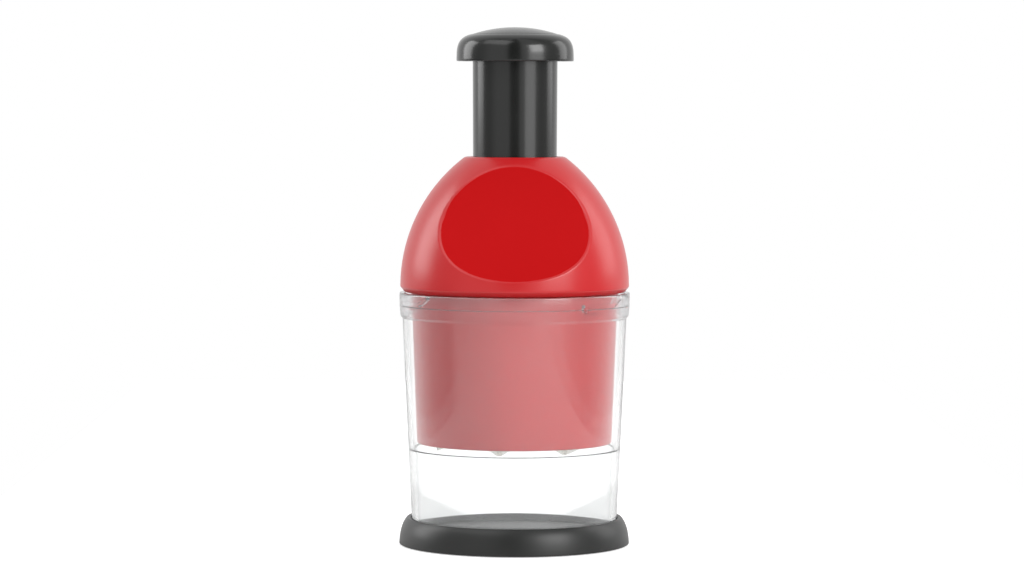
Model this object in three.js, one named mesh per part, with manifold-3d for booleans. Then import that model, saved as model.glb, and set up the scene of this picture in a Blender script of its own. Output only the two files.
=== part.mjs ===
// Plunger food chopper in millimetres: +Z up, front towards -Y, origin on the table under the middle.
// A push on the knob drives a zigzag blade down through a wiper onto the base, and a spring lifts it
// again. A pin in two helical slots turns blade and wiper together while they travel.

import * as THREE from "three";
import { mergeVertices } from "three/addons/utils/BufferGeometryUtils.js";
import Module from "manifold-3d";

const wasm = await Module();
wasm.setup();

// Fits shared by all pieces
const fit = 0.3;                    // gap between pieces that touch
const overrun = 1;                  // how far a cutter or a joined piece reaches past a face

// Driving sizes
const stroke = 34;                  // travel of the plunger
const bladeCircle = 40.4;           // radius that the folds of the blade reach
const bladeTurn = 36;               // degrees that the blade turns over the stroke
const twistRange = 28;              // degrees from locked to free on the container
const floorTop = 9.8;               // chopping surface above the table

// Steps around the round pieces
const wideSteps = 40;
const middleSteps = 30;
const smallSteps = 16;

const degree = Math.PI / 180;
const fullTurn = 2 * Math.PI;

const blade = {
  thickness: 0.8,
  foldBore: 0.65,                   // inner radius of a fold
  foldPitch: 14.38,                 // from one fold to the next, across the strip
  sideShift: 0.55,                  // middle of the zigzag from the axis
  bevel: 1.6,                       // height of the ground edge
  edge: 0.16,                       // thickness left at the cutting edge
  tipGap: 0.3,                      // edge to chopping surface at the end of the stroke
  foldSteps: 6,
};

const wiper = {
  thickness: 2,
  slotClearance: 0.45,
  rimCover: 1.5,                    // disc edge outside the fold circle
};

const guard = {
  bladeGap: 1.9,                    // fold circle to bore
  wall: 2.1,
  tipCover: 2.6,                    // cutting edge shows this far below the guard
  lipHeight: 0.8,
  lipGap: 0.6,                      // fold circle to lip
  footRound: 0.6,
  deck: 2.5,
  rim: 2.2,                         // wall above the deck
  draftShare: 0.0386,               // radius gained per height
  ribHeight: 3.2,
  ribWidth: 1.8,
  ribCount: 4,
};

const hub = {
  plate: 4.6,
  rimCover: 1.3,                    // plate edge outside the fold circle
  wiperGap: 0.5,                    // plate to wiper at the end of the stroke
  groove: 2.7,
  bossRadius: 9,
  bossHeight: 12,
  headroom: 9.4,                    // boss to deck
  ribCount: 6,
  ribStart: 30,                     // degrees
  ribWidth: 2,
  ribHeight: 5,
  rimWidth: 2,
  rimHeight: 2,
  pinRise: 6.5,                     // cross pin above the plate
};

const shaft = {
  radius: 5,
  shoulderRadius: 7.5,
  shoulder: 3,
  grooveDepth: 0.9,
  endLength: 2.4,                   // above the clip groove
  pinRadius: 1.5,
  clipGapShare: 0.1,                // half the opening of the clip, in turns
};

const washer = { height: 0.8, cover: 1 };

const sleeve = {
  wall: 3,
  shaftGap: 2.5,                    // shaft to bore
  flangeCover: 4.7,                 // flange edge outside the tube
  flange: 1.5,
  keyCover: 1.1,                    // corners of the six-sided key outside the tube
  keySides: 6,
  topGap: 1.5,                      // shoulder to sleeve at the end of the stroke
  pinDepth: 5,                      // pin below the top of the sleeve at rest
  slotClearance: 0.35,
  slotSteps: 8,
};

const bush = { flange: 1.4, flangeCover: 2.3, length: 10 };

const spring = {
  wire: 1.8,
  coils: 12,
  sleeveGap: 2.1,                   // cam sleeve to wire
  closedGap: 0.6,                   // between the turns at both ends
  steps: 8,
  sides: 5,
};

const stem = {
  wall: 2.35,
  springGap: 2.3,                   // wire to bore
  swell: 0.2,                       // radius gained up to the knob
  flange: 3,
  flangeCover: 2.25,                // stop flange outside the tube
  footRoom: 4.2,                    // stop flange to deck at the end of the stroke
  plate: 3,
  plateDepth: 12,                   // plate below the underside of the knob
  pillarRadius: 3.2,
  pillarHeight: 6,
  pillarPlace: 10.5,                // from the axis
};

const guide = { gap: 0.55, wall: 2, length: 22.3 };

const container = {
  wall: 2.1,
  guardGap: 1.8,                    // guard to bore at the ledge
  draftShare: 0.0457,               // radius gained per height
  ledgeWidth: 1.2,
  ledgeBelowTip: 0.1,               // ledge below the cutting edge
  collarHeight: 11.7,
  collarCover: 0.85,                // collar outside the wall line at the top
  collarSwell: 6.7,                 // height over which the collar comes out
  collarFootShare: 0.55,            // part of the collar's cover gained at its foot
  collarFoot: 0.9,
  collarWall: 3.1,
  stepDepth: 5.8,                   // inner step below the top
  edge: 0.5,
};

const bayonet = {
  count: 3,
  lugHeight: 1.5,
  lugDrop: 7.1,                     // underside of the lug below the top of the container
  lugReach: 0.35,                   // lug to bore of the container
  lugSpan: 12,                      // degrees
  ribHeight: 1.6,
  ribReach: 1.05,                   // rib inside the circle that the lugs reach
  rampRise: 3.2,
  rampSpan: 7.5,                    // degrees
  rampOverlap: 1,                   // degrees that ramp and flat share
  rampStart: -141,                  // degrees, top of the first ramp: front left
  spareSpan: 1,                     // degrees that the ribs are longer than the turn
  stopSpan: 2,                      // degrees
  steps: 6,
};

const dome = {
  wall: 2.5,
  collarInset: 0.35,                // widest edge inside the collar
  seatCover: 0.8,                   // seat beyond the collar's bore
  chamferHeight: 2.4,
  topCover: 3,                      // flat top outside the bore
  topRound: 1.5,
  flange: 2.4,
  spigotWall: 1.6,
  bossRadius: 4.2,
  bossInset: 3.4,                   // boss circle inside the spigot
  bossHeight: 13.2,
  bossRoof: 2.6,
  bossCount: 4,
  bossStart: 225,                   // degrees, first boss: front left
  gussetWidth: 2,
  arcSteps: 5,
  hollowSteps: 3,
};

const scoop = {
  radius: 58,                       // of the level cylinder that hollows each side
  depth: 27,                        // hollow to the axis where it is deepest
  drop: 7,                          // deepest line below the top of the dome
  steps: 60,
};

const knob = {
  overhang: 7.35,                   // outside the stem
  room: 9.2,                        // knob to dome at the end of the stroke
  wall: 2.4,
  socketWall: 2,
  socketDepth: 3.5,
  sideHeight: 12.3,                 // underside to the edge of the cap
  shoulder: 7,                      // side to the edge of the cap
  plate: 2.5,
  capSeat: 2.7,                     // depth of the recess at its wall
  footRound: 0.5,
  crownFall: 1.5,                   // end of the side's curve below the edge of the cap
  pillarWall: 0.9,                  // outside the head of the screw
};

const cap = { bulge: 3.1 };

const base = {
  footGap: 0.4,                     // underside to table
  rimHeight: 12.3,
  rimWidth: 1.7,
  rimRound: 0.5,
  flare: 5.3,                       // foot outside the bore
  bellyShare: 0.72,                 // height share of the curve's control point
  bellyInset: 0.3,
  channelFloor: 3.6,
  channelWall: 1.7,
  plateWall: 2.4,
  plateRound: 0.7,
  skirtWall: 1.8,
  pocketShare: 0.55,                // height share of the pocket inside the skirt
  grooveFloor: 1.5,                 // material between channel and groove
  grooveWidth: 5,
  grooveInset: 1.6,                 // groove's outer wall inside the bore
  ribWidth: 1.6,
  ribHeight: 3.4,
  ribCount: 3,
};

const screw = {
  shank: 1.2,
  headRadius: 2.7,
  headHeight: 2,
  point: 1.6,
  cornerShare: 0.6,                 // flat part of the domed head
  steps: 10,
};

// Radii, from the blade outwards
const guardBoreFoot = bladeCircle + guard.bladeGap;
const guardFoot = guardBoreFoot + guard.wall;
const shaftHole = shaft.radius + fit;
const pinHole = shaft.pinRadius + fit;
const sleeveBore = shaft.radius + sleeve.shaftGap;
const sleeveRadius = sleeveBore + sleeve.wall;
const springRadius = sleeveRadius + spring.sleeveGap + spring.wire / 2;
const stemBore = springRadius + spring.wire / 2 + stem.springGap;
const stemRadius = stemBore + stem.wall;
const guideBore = stemRadius + guide.gap;
const ledgeBore = guardFoot + container.guardGap;

// Heights, from the table upwards
const tipRest = floorTop + blade.tipGap + stroke;
const guardBottom = tipRest + guard.tipCover;
const lipTop = guardBottom + guard.lipHeight;
const wiperBottom = lipTop + fit;
const wiperTop = wiperBottom + wiper.thickness;
const hubBottom = wiperTop + stroke + hub.wiperGap;
const hubTop = hubBottom + hub.plate;
const bladeTop = hubBottom + hub.groove - fit;
const bossTop = hubTop + hub.bossHeight;
const deckBottom = bossTop + hub.headroom;
const deckTop = deckBottom + guard.deck;
const containerTop = deckTop + guard.rim;
const domeBottom = containerTop + fit;
const guideBottom = deckTop + stem.footRoom + stroke + stem.flange + fit;
const domeTop = guideBottom + guide.length;
const knobBottom = domeTop + stroke + knob.room;
const plateTop = knobBottom - stem.plateDepth;
const plateBottom = plateTop - stem.plate;
const stemBottom = guideBottom - fit - stem.flange;
const stemTop = knobBottom + knob.socketDepth;
const shoulderTop = plateBottom - washer.height - 2 * fit;
const shoulderBottom = shoulderTop - shaft.shoulder;
const sleeveTop = shoulderBottom - stroke - sleeve.topGap;
const pinRest = sleeveTop - sleeve.pinDepth;
const sleeveSeat = deckTop + fit;
const springFoot = sleeveSeat + sleeve.flange + fit;
const containerFoot = base.channelFloor + fit;
const ledgeHeight = tipRest - container.ledgeBelowTip;

const guardRadiusAt = (z) => guardFoot + guard.draftShare * (z - guardBottom);
const guardBoreAt = (z) => guardRadiusAt(z) - guard.wall;
const containerBoreAt = (z) => ledgeBore + container.draftShare * (z - ledgeHeight);
const containerRadiusAt = (z) => containerBoreAt(z) + container.wall;

const collarRadius = containerRadiusAt(containerTop) + container.collarCover;
const collarBore = collarRadius - container.collarWall;
const domeRadius = collarRadius - dome.collarInset;
const domeEdge = domeBottom + dome.chamferHeight;
const spigotRadius = guardBoreAt(deckTop) - fit;
const spigotBore = spigotRadius - dome.spigotWall;
const bossCircle = spigotBore - dome.bossInset;
const knobRadius = stemRadius + stem.swell + knob.overhang;
const capRadius = knobRadius - knob.shoulder - fit;
const capFoot = knobBottom + knob.sideHeight - knob.capSeat + fit;

// Solids from profiles, outlines and blocks

function solid(geometry) {
  geometry.deleteAttribute("normal");
  geometry.deleteAttribute("uv");
  const merged = mergeVertices(geometry);
  const { index, attributes } = merged;
  const corners = [];
  for (let i = 0; i < index.count; i += 3) {
    const [a, b, c] = [index.getX(i), index.getX(i + 1), index.getX(i + 2)];
    if (a !== b && b !== c && c !== a) corners.push(a, b, c);
  }
  const made = new wasm.Manifold(new wasm.Mesh({
    numProp: 3,
    vertProperties: Float32Array.from(attributes.position.array),
    triVerts: Uint32Array.from(facingOut(corners, attributes.position)),
  }));
  return made;
}

function facingOut(corners, position) {
  const [a, b, c] = [new THREE.Vector3(), new THREE.Vector3(), new THREE.Vector3()];
  let volume = 0;
  for (let i = 0; i < corners.length; i += 3) {
    a.fromBufferAttribute(position, corners[i]);
    b.fromBufferAttribute(position, corners[i + 1]);
    c.fromBufferAttribute(position, corners[i + 2]);
    volume += a.dot(b.cross(c));
  }
  return volume < 0 ? corners.toReversed() : corners;
}

function surface(made) {
  const { vertProperties, triVerts } = made.getMesh();
  const geometry = new THREE.BufferGeometry();
  geometry.setAttribute("position", new THREE.BufferAttribute(vertProperties, 3));
  geometry.setIndex(new THREE.BufferAttribute(triVerts, 1));
  geometry.computeVertexNormals();
  return geometry;
}

function revolve(draw, steps, curveSteps = 6) {
  const path = new THREE.Path();
  draw(path);
  const geometry = new THREE.LatheGeometry(path.getPoints(curveSteps), steps);
  return solid(geometry.rotateX(fullTurn / 4));
}

function ring(inner, outer, bottom, top, steps) {
  return revolve((path) => {
    path.moveTo(inner, bottom);
    path.lineTo(outer, bottom);
    path.lineTo(outer, top);
    path.lineTo(inner, top);
    path.lineTo(inner, bottom);
  }, steps);
}

function upright(radius, bottom, top, steps, x = 0, y = 0) {
  const geometry = new THREE.CylinderGeometry(radius, radius, top - bottom, steps);
  return solid(geometry.rotateX(fullTurn / 4).translate(x, y, (bottom + top) / 2));
}

function level(radius, length, height, steps) {
  const geometry = new THREE.CylinderGeometry(radius, radius, length, steps);
  return solid(geometry.rotateZ(fullTurn / 4).translate(0, 0, height));
}

function block(from, to) {
  const size = to.map((value, i) => value - from[i]);
  const middle = to.map((value, i) => (value + from[i]) / 2);
  return solid(new THREE.BoxGeometry(...size).translate(...middle));
}

// A bar bent round the axis: place() turns shares around, out and up into radius, azimuth and height
function bentBar(stepsAround, stepsUp, place) {
  const geometry = new THREE.BoxGeometry(1, 1, 1, stepsAround, 1, stepsUp).translate(0.5, 0.5, 0.5);
  const position = geometry.getAttribute("position");
  for (let i = 0; i < position.count; i++) {
    const [radius, azimuth, height] = place(position.getX(i), position.getY(i), position.getZ(i));
    const angle = azimuth * degree;
    position.setXYZ(i, radius * Math.cos(angle), radius * Math.sin(angle), height);
  }
  return solid(geometry);
}

const joined = (first, ...others) => others.reduce((sum, other) => sum.add(other), first);
const cut = (first, ...others) => others.reduce((rest, other) => rest.subtract(other), first);
const turned = (made, degrees) => made.rotate([0, 0, degrees]);
const evenTurns = (count) => Array.from({ length: count }, (_, i) => (i * 360) / count);
const between = (low, high, share) => low + (high - low) * share;

// The strip of the blade: straight runs laid as crossed tangents between the circles of its folds
function stripPath() {
  const foldRadius = blade.foldBore + blade.thickness / 2;
  const centreCircle = bladeCircle - blade.thickness / 2 - foldRadius;
  const spread = centreCircle - Math.abs(blade.sideShift);
  const count = 1 + Math.floor((2 * spread) / blade.foldPitch);
  const centres = Array.from({ length: count }, (_, i) => {
    const x = blade.sideShift + (i - (count - 1) / 2) * blade.foldPitch;
    const y = Math.sqrt(centreCircle ** 2 - x ** 2);
    return new THREE.Vector2(x, i % 2 ? y : -y);
  });
  const runs = centres.slice(1).map((to, i) => {
    const from = centres[i];
    const along = to.clone().sub(from);
    const side = i % 2 ? 1 : -1;
    const direction = along.angle() + side * Math.asin((2 * foldRadius) / along.length());
    const across = direction + (side * fullTurn) / 4;
    const offset = new THREE.Vector2(Math.cos(across), Math.sin(across)).multiplyScalar(foldRadius);
    return { start: from.clone().sub(offset), end: to.clone().add(offset), across, side };
  });
  const points = [runs[0].start];
  for (let i = 0; i + 1 < runs.length; i++) {
    const centre = centres[i + 1];
    const first = runs[i].across;
    const sweep = -runs[i].side * (fullTurn / 2 - turnBetween(runs[i], runs[i + 1]));
    for (let step = 0; step <= blade.foldSteps; step++) {
      const angle = first + (sweep * step) / blade.foldSteps;
      const spoke = new THREE.Vector2(Math.cos(angle), Math.sin(angle)).multiplyScalar(foldRadius);
      points.push(centre.clone().add(spoke));
    }
  }
  points.push(runs.at(-1).end);
  return points;
}

// Angle left open between two runs that meet in a fold
function turnBetween(run, next) {
  const inward = run.start.clone().sub(run.end);
  const outward = next.end.clone().sub(next.start);
  return Math.acos(inward.dot(outward) / (inward.length() * outward.length()));
}

// A strip standing on edge: each level gives a height and half a thickness
function stripSolid(levels) {
  const path = stripPath();
  const rows = levels.map(({ z, half }) => path.map((point, i) => {
    const before = path[Math.max(i - 1, 0)];
    const after = path[Math.min(i + 1, path.length - 1)];
    const along = after.clone().sub(before).normalize();
    const left = new THREE.Vector2(-along.y, along.x).multiplyScalar(half);
    return [
      [point.x + left.x, point.y + left.y, z],
      [point.x - left.x, point.y - left.y, z],
    ];
  }));
  const corners = [];
  const quad = (a, b, c, d) => corners.push(...a, ...b, ...c, ...a, ...c, ...d);
  for (let i = 0; i + 1 < path.length; i++) {
    const [bottom, top] = [rows[0], rows.at(-1)];
    quad(bottom[i][0], bottom[i + 1][0], bottom[i + 1][1], bottom[i][1]);
    quad(top[i][1], top[i + 1][1], top[i + 1][0], top[i][0]);
    for (let row = 0; row + 1 < rows.length; row++) {
      const [low, high] = [rows[row], rows[row + 1]];
      quad(low[i + 1][0], low[i][0], high[i][0], high[i + 1][0]);
      quad(low[i][1], low[i + 1][1], high[i + 1][1], high[i][1]);
    }
  }
  for (let row = 0; row + 1 < rows.length; row++) {
    const [low, high] = [rows[row], rows[row + 1]];
    quad(low[0][0], low[0][1], high[0][1], high[0][0]);
    quad(low.at(-1)[1], low.at(-1)[0], high.at(-1)[0], high.at(-1)[1]);
  }
  const geometry = new THREE.BufferGeometry();
  geometry.setAttribute("position", new THREE.Float32BufferAttribute(corners, 3));
  return solid(geometry);
}

// Base: a black cap that closes the container and carries the chopping surface

function baseCap() {
  const plateRadius = containerBoreAt(containerFoot) - container.ledgeWidth - fit;
  const boreAt = (z) => containerRadiusAt(z) + fit;
  const rimBore = boreAt(base.rimHeight);
  const channelBore = boreAt(base.channelFloor);
  const footRadius = rimBore + base.flare;
  const belly = base.rimHeight * base.bellyShare;
  const wallFoot = channelBore + base.channelWall;
  const pocketTop = base.rimHeight * base.pocketShare;
  const { outer, inner, top } = grooveSizes();
  const plateUnder = floorTop - base.plateWall;
  const cup = revolve((path) => {
    path.moveTo(0, floorTop);
    path.lineTo(plateRadius - base.plateRound, floorTop);
    path.lineTo(plateRadius, floorTop - base.plateRound);
    path.lineTo(plateRadius, base.channelFloor);
    path.lineTo(channelBore, base.channelFloor);
    path.lineTo(rimBore, base.rimHeight - base.rimRound);
    path.lineTo(rimBore + base.rimRound, base.rimHeight);
    path.lineTo(rimBore + base.rimWidth - base.rimRound, base.rimHeight);
    path.quadraticCurveTo(footRadius - base.bellyInset, belly, footRadius, base.footGap);
    path.lineTo(footRadius - base.skirtWall, base.footGap);
    path.lineTo(wallFoot + base.rimRound, pocketTop);
    path.lineTo(wallFoot, base.footGap);
    path.lineTo(outer, base.footGap);
    path.lineTo(outer, top);
    path.lineTo(inner, top);
    path.lineTo(inner, base.footGap);
    path.lineTo(inner - base.channelWall, base.footGap);
    path.lineTo(inner - base.channelWall, plateUnder);
    path.lineTo(0, plateUnder);
  }, wideSteps, 5);
  const ribEnd = inner - base.channelWall + fit;
  const rib = block([-ribEnd, -base.ribWidth / 2, plateUnder - base.ribHeight],
    [ribEnd, base.ribWidth / 2, plateUnder + fit]);
  return joined(cup, ...evenTurns(2 * base.ribCount).slice(0, base.ribCount).map((t) => turned(rib, t)));
}

function grooveSizes() {
  const outer = containerRadiusAt(base.channelFloor) + fit - base.grooveInset;
  return { outer, inner: outer - base.grooveWidth, top: base.channelFloor - base.grooveFloor };
}

function antiSlipRing() {
  const { outer, inner, top } = grooveSizes();
  const [from, to, height] = [inner + fit, outer - fit, top - fit];
  return revolve((path) => {
    path.moveTo(from, base.footGap);
    path.lineTo(from + base.footGap, 0);
    path.lineTo(to - base.footGap, 0);
    path.lineTo(to, base.footGap);
    path.lineTo(to, height);
    path.lineTo(from, height);
    path.lineTo(from, base.footGap);
  }, wideSteps);
}

// Clear container with its collar and the ribs of the bayonet

function clearContainer() {
  const collarStart = containerTop - container.collarHeight;
  const collarOut = containerRadiusAt(collarStart) + (collarRadius - containerRadiusAt(collarStart))
    * container.collarFootShare;
  const stepHeight = containerTop - container.stepDepth;
  const wall = revolve((path) => {
    path.moveTo(containerBoreAt(containerFoot) - container.ledgeWidth, containerFoot);
    path.lineTo(containerRadiusAt(containerFoot), containerFoot);
    path.lineTo(containerRadiusAt(collarStart), collarStart);
    path.quadraticCurveTo(collarOut, collarStart + container.collarFoot,
      collarRadius, collarStart + container.collarSwell);
    path.lineTo(collarRadius, containerTop - container.edge);
    path.lineTo(collarRadius - container.edge, containerTop);
    path.lineTo(collarBore + container.edge, containerTop);
    path.lineTo(collarBore, containerTop - container.edge);
    path.lineTo(collarBore, stepHeight);
    path.lineTo(containerBoreAt(stepHeight), stepHeight);
    path.lineTo(ledgeBore, ledgeHeight);
    path.lineTo(ledgeBore - container.ledgeWidth, ledgeHeight);
    path.lineTo(containerBoreAt(containerFoot) - container.ledgeWidth, containerFoot);
  }, wideSteps, 4);
  const ribs = evenTurns(bayonet.count).map((turn) => turned(bayonetRib(), turn));
  return joined(wall, ...ribs);
}

function bayonetSizes() {
  const lugBottom = containerTop - bayonet.lugDrop;
  const lugTop = lugBottom + bayonet.lugHeight;
  const lugRadius = containerBoreAt(lugBottom) - bayonet.lugReach;
  return { lugBottom, lugTop, lugRadius, ribBottom: lugTop + fit };
}

const ribEnd = () => bayonet.rampStart - twistRange - bayonet.spareSpan;

function bayonetRib() {
  const { lugBottom, lugRadius, ribBottom } = bayonetSizes();
  const inner = lugRadius - bayonet.ribReach;
  const outer = collarBore + fit;
  const rampFoot = bayonet.rampStart - bayonet.rampSpan;
  const flatEnd = ribEnd();
  const ramp = bentBar(bayonet.steps, 1, (around, out, up) => [
    between(inner, outer, out),
    between(bayonet.rampStart, rampFoot, around),
    ribBottom + bayonet.rampRise * (1 - around) + bayonet.ribHeight * up,
  ]);
  const flat = bentBar(bayonet.steps, 1, (around, out, up) => [
    between(inner, outer, out),
    between(rampFoot + bayonet.rampOverlap, flatEnd, around),
    ribBottom + bayonet.ribHeight * up,
  ]);
  const stop = bentBar(1, 1, (around, out, up) => [
    between(inner, outer, out),
    between(flatEnd, flatEnd - bayonet.stopSpan, around),
    between(lugBottom, ribBottom + bayonet.ribHeight, up),
  ]);
  return joined(ramp, flat, stop);
}

// Red guard: skirt round the blade, deck above it, lugs that turn under the ribs of the container

function bladeGuard() {
  const skirt = revolve((path) => {
    path.moveTo(0, deckBottom);
    path.lineTo(guardBoreAt(deckBottom), deckBottom);
    path.lineTo(guardBoreAt(lipTop), lipTop);
    path.lineTo(bladeCircle + guard.lipGap, lipTop);
    path.lineTo(bladeCircle + guard.lipGap, guardBottom);
    path.lineTo(guardFoot - guard.footRound, guardBottom);
    path.quadraticCurveTo(guardFoot, guardBottom, guardFoot, guardBottom + guard.footRound);
    path.lineTo(guardRadiusAt(containerTop), containerTop);
    path.lineTo(guardBoreAt(deckTop), containerTop);
    path.lineTo(guardBoreAt(deckTop), deckTop);
    path.lineTo(0, deckTop);
  }, wideSteps, 3);
  const keyHole = upright(sleeveRadius + sleeve.keyCover + fit, deckBottom - overrun,
    deckTop + overrun, sleeve.keySides);
  const ribFrom = sleeveRadius + sleeve.flangeCover;
  const rib = block([ribFrom, -guard.ribWidth / 2, deckBottom - guard.ribHeight],
    [guardBoreAt(deckBottom), guard.ribWidth / 2, deckBottom + fit]);
  const ribStart = dome.bossStart + 180 / dome.bossCount;
  const ribs = evenTurns(guard.ribCount).map((turn) => turned(rib, ribStart + turn));
  const lugs = evenTurns(bayonet.count).map((turn) => turned(guardLug(), turn));
  const holes = screwPlaces().map(([x, y]) => upright(screw.shank + fit, deckBottom - overrun,
    deckTop + overrun, screw.steps, x, y));
  return cut(joined(skirt, ...ribs, ...lugs), keyHole, ...holes);
}

function guardLug() {
  const { lugBottom, lugTop, lugRadius } = bayonetSizes();
  const gapAngle = fit / lugRadius / degree;
  const start = ribEnd() + gapAngle;
  return bentBar(bayonet.steps, 1, (around, out, up) => [
    between(guardRadiusAt(lugBottom) - guard.wall / 2, lugRadius, out),
    between(start, start + bayonet.lugSpan, around),
    between(lugBottom, lugTop, up),
  ]);
}

function screwPlaces() {
  return evenTurns(dome.bossCount).map((turn) => {
    const angle = (dome.bossStart + turn) * degree;
    return [bossCircle * Math.cos(angle), bossCircle * Math.sin(angle)];
  });
}

// Red dome: shell with a hollow front and back for the fingers, guide for the stem, screw bosses

function housingDome() {
  const outside = cut(domeBody(0), ...scoops(0));
  const inside = cut(domeBody(dome.wall), ...scoops(dome.wall));
  const spigot = ring(spigotBore, spigotRadius, deckTop + fit, domeBottom + dome.flange, wideSteps);
  const guideTube = ring(guideBore, guideBore + guide.wall, guideBottom,
    domeTop - dome.wall / 2, middleSteps);
  const bosses = screwPlaces().map(([x, y]) => upright(dome.bossRadius, deckTop + fit,
    deckTop + fit + dome.bossHeight, screw.steps, x, y));
  const gusset = block([bossCircle, -dome.gussetWidth / 2, domeBottom + overrun],
    [domeWallAt(deckTop + dome.bossHeight), dome.gussetWidth / 2, deckTop + dome.bossHeight - overrun]);
  const gussets = evenTurns(dome.bossCount).map((turn) => turned(gusset, dome.bossStart + turn));
  const holes = screwPlaces().map(([x, y]) => upright(screw.shank + fit, deckTop - overrun,
    deckTop + dome.bossHeight - dome.bossRoof, screw.steps, x, y));
  const bore = upright(guideBore, guideBottom - overrun, domeTop + overrun, middleSteps);
  return cut(joined(cut(outside, inside), spigot, guideTube, ...bosses, ...gussets), bore, ...holes);
}

// The dome's arc starts upright at its widest edge and ends at the flat top
function domeArc() {
  const topRadius = guideBore + dome.topCover;
  const height = domeTop - domeEdge;
  const centre = (domeRadius ** 2 - topRadius ** 2 - height ** 2) / (2 * (domeRadius - topRadius));
  return { centre, radius: domeRadius - centre, topRadius, height };
}

function domeWallAt(z) {
  const { centre, radius } = domeArc();
  return centre + Math.sqrt((radius - dome.wall / 2) ** 2 - (z - domeEdge) ** 2);
}

// The solid under the dome's outside, or the hollow that leaves a wall of the given thickness
function domeBody(wall) {
  const { centre, radius, topRadius, height } = domeArc();
  const rise = height - wall - dome.topRound;
  const endAngle = Math.asin(rise / (radius - wall));
  const ceiling = domeTop - wall;
  return revolve((path) => {
    path.moveTo(0, wall ? deckTop - overrun : domeBottom);
    if (wall) {
      path.lineTo(spigotBore, deckTop - overrun);
      path.lineTo(spigotBore, domeBottom + dome.flange);
      path.lineTo(domeRadius - wall, domeBottom + dome.flange);
    } else {
      path.lineTo(collarBore + dome.seatCover, domeBottom);
    }
    path.absarc(centre, domeEdge, radius - wall, 0, endAngle, false);
    path.quadraticCurveTo(topRadius - wall, ceiling, topRadius - wall - dome.topRound, ceiling);
    path.lineTo(0, ceiling);
  }, wall ? middleSteps : wideSteps, wall ? dome.hollowSteps : dome.arcSteps);
}

function scoops(wall) {
  const tool = level(scoop.radius + wall, 2 * domeRadius + overrun, domeTop - scoop.drop, scoop.steps);
  const reach = scoop.radius + scoop.depth;
  return [tool.translate([0, -reach, 0]), tool.translate([0, reach, 0])];
}

// Cam sleeve: keyed into the deck, with two helical slots for the index pin

function camSleeve() {
  const body = joined(
    upright(sleeveRadius + sleeve.keyCover, deckBottom, sleeveSeat + fit, sleeve.keySides),
    upright(sleeveRadius + sleeve.flangeCover, sleeveSeat, sleeveSeat + sleeve.flange, middleSteps),
    upright(sleeveRadius, sleeveSeat, sleeveTop, middleSteps),
  );
  const bore = upright(sleeveBore, deckBottom - overrun, sleeveTop + overrun, middleSteps);
  return cut(body, bore, helicalSlot(), turned(helicalSlot(), 180));
}

function helicalSlot() {
  const half = shaft.pinRadius + sleeve.slotClearance;
  const halfAngle = Math.asin(half / sleeveBore) / degree;
  return bentBar(2, sleeve.slotSteps, (around, out, up) => {
    const height = between(pinRest - stroke - half, pinRest + half, up);
    const turn = (bladeTurn * (pinRest - height)) / stroke;
    return [
      between(sleeveBore - overrun, sleeveRadius + overrun, out),
      turn + between(-halfAngle, halfAngle, around),
      height,
    ];
  });
}

function shaftBush() {
  const outer = sleeveBore - fit;
  return revolve((path) => {
    path.moveTo(shaftHole, deckBottom - fit - bush.flange);
    path.lineTo(outer + bush.flangeCover, deckBottom - fit - bush.flange);
    path.lineTo(outer + bush.flangeCover, deckBottom - fit);
    path.lineTo(outer, deckBottom - fit);
    path.lineTo(outer, deckBottom + bush.length);
    path.lineTo(shaftHole, deckBottom + bush.length);
    path.lineTo(shaftHole, deckBottom - fit - bush.flange);
  }, smallSteps);
}

// Return spring: one wire, its first and last turns drawn together

function springLine() {
  const closedPitch = spring.wire + spring.closedGap;
  const length = plateBottom - fit - springFoot - spring.wire;
  const openPitch = (length - 2 * closedPitch) / (spring.coils - 2);
  const count = spring.coils * spring.steps;
  return Array.from({ length: count + 1 }, (_, i) => {
    const turns = i / spring.steps;
    const closedTurns = Math.min(turns, 1) + Math.max(turns - spring.coils + 1, 0);
    const rise = closedTurns * closedPitch + (turns - closedTurns) * openPitch;
    const angle = turns * fullTurn;
    return new THREE.Vector3(springRadius * Math.cos(angle), springRadius * Math.sin(angle),
      springFoot + spring.wire / 2 + rise);
  });
}

function returnSpring() {
  const line = springLine();
  const corners = [];
  const rings = line.map((point, i) => {
    const along = line[Math.min(i + 1, line.length - 1)].clone().sub(line[Math.max(i - 1, 0)]).normalize();
    const outward = new THREE.Vector3(point.x, point.y, 0).normalize();
    const upward = outward.clone().cross(along).negate().normalize();
    return Array.from({ length: spring.sides }, (_, side) => {
      const angle = (side * fullTurn) / spring.sides;
      return point.clone()
        .addScaledVector(outward, (Math.cos(angle) * spring.wire) / 2)
        .addScaledVector(upward, (Math.sin(angle) * spring.wire) / 2);
    });
  });
  const face = (...points) => points.forEach((point) => corners.push(point.x, point.y, point.z));
  for (let i = 0; i + 1 < rings.length; i++) {
    for (let side = 0; side < spring.sides; side++) {
      const next = (side + 1) % spring.sides;
      face(rings[i][side], rings[i][next], rings[i + 1][next]);
      face(rings[i][side], rings[i + 1][next], rings[i + 1][side]);
    }
  }
  for (let side = 0; side < spring.sides; side++) {
    const next = (side + 1) % spring.sides;
    face(line[0], rings[0][next], rings[0][side]);
    face(line.at(-1), rings.at(-1)[side], rings.at(-1)[next]);
  }
  console.log(`least gap between turns of the spring: ${leastGap(line).toFixed(2)} mm`);
  const geometry = new THREE.BufferGeometry();
  geometry.setAttribute("position", new THREE.Float32BufferAttribute(corners, 3));
  return solid(geometry);
}

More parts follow.
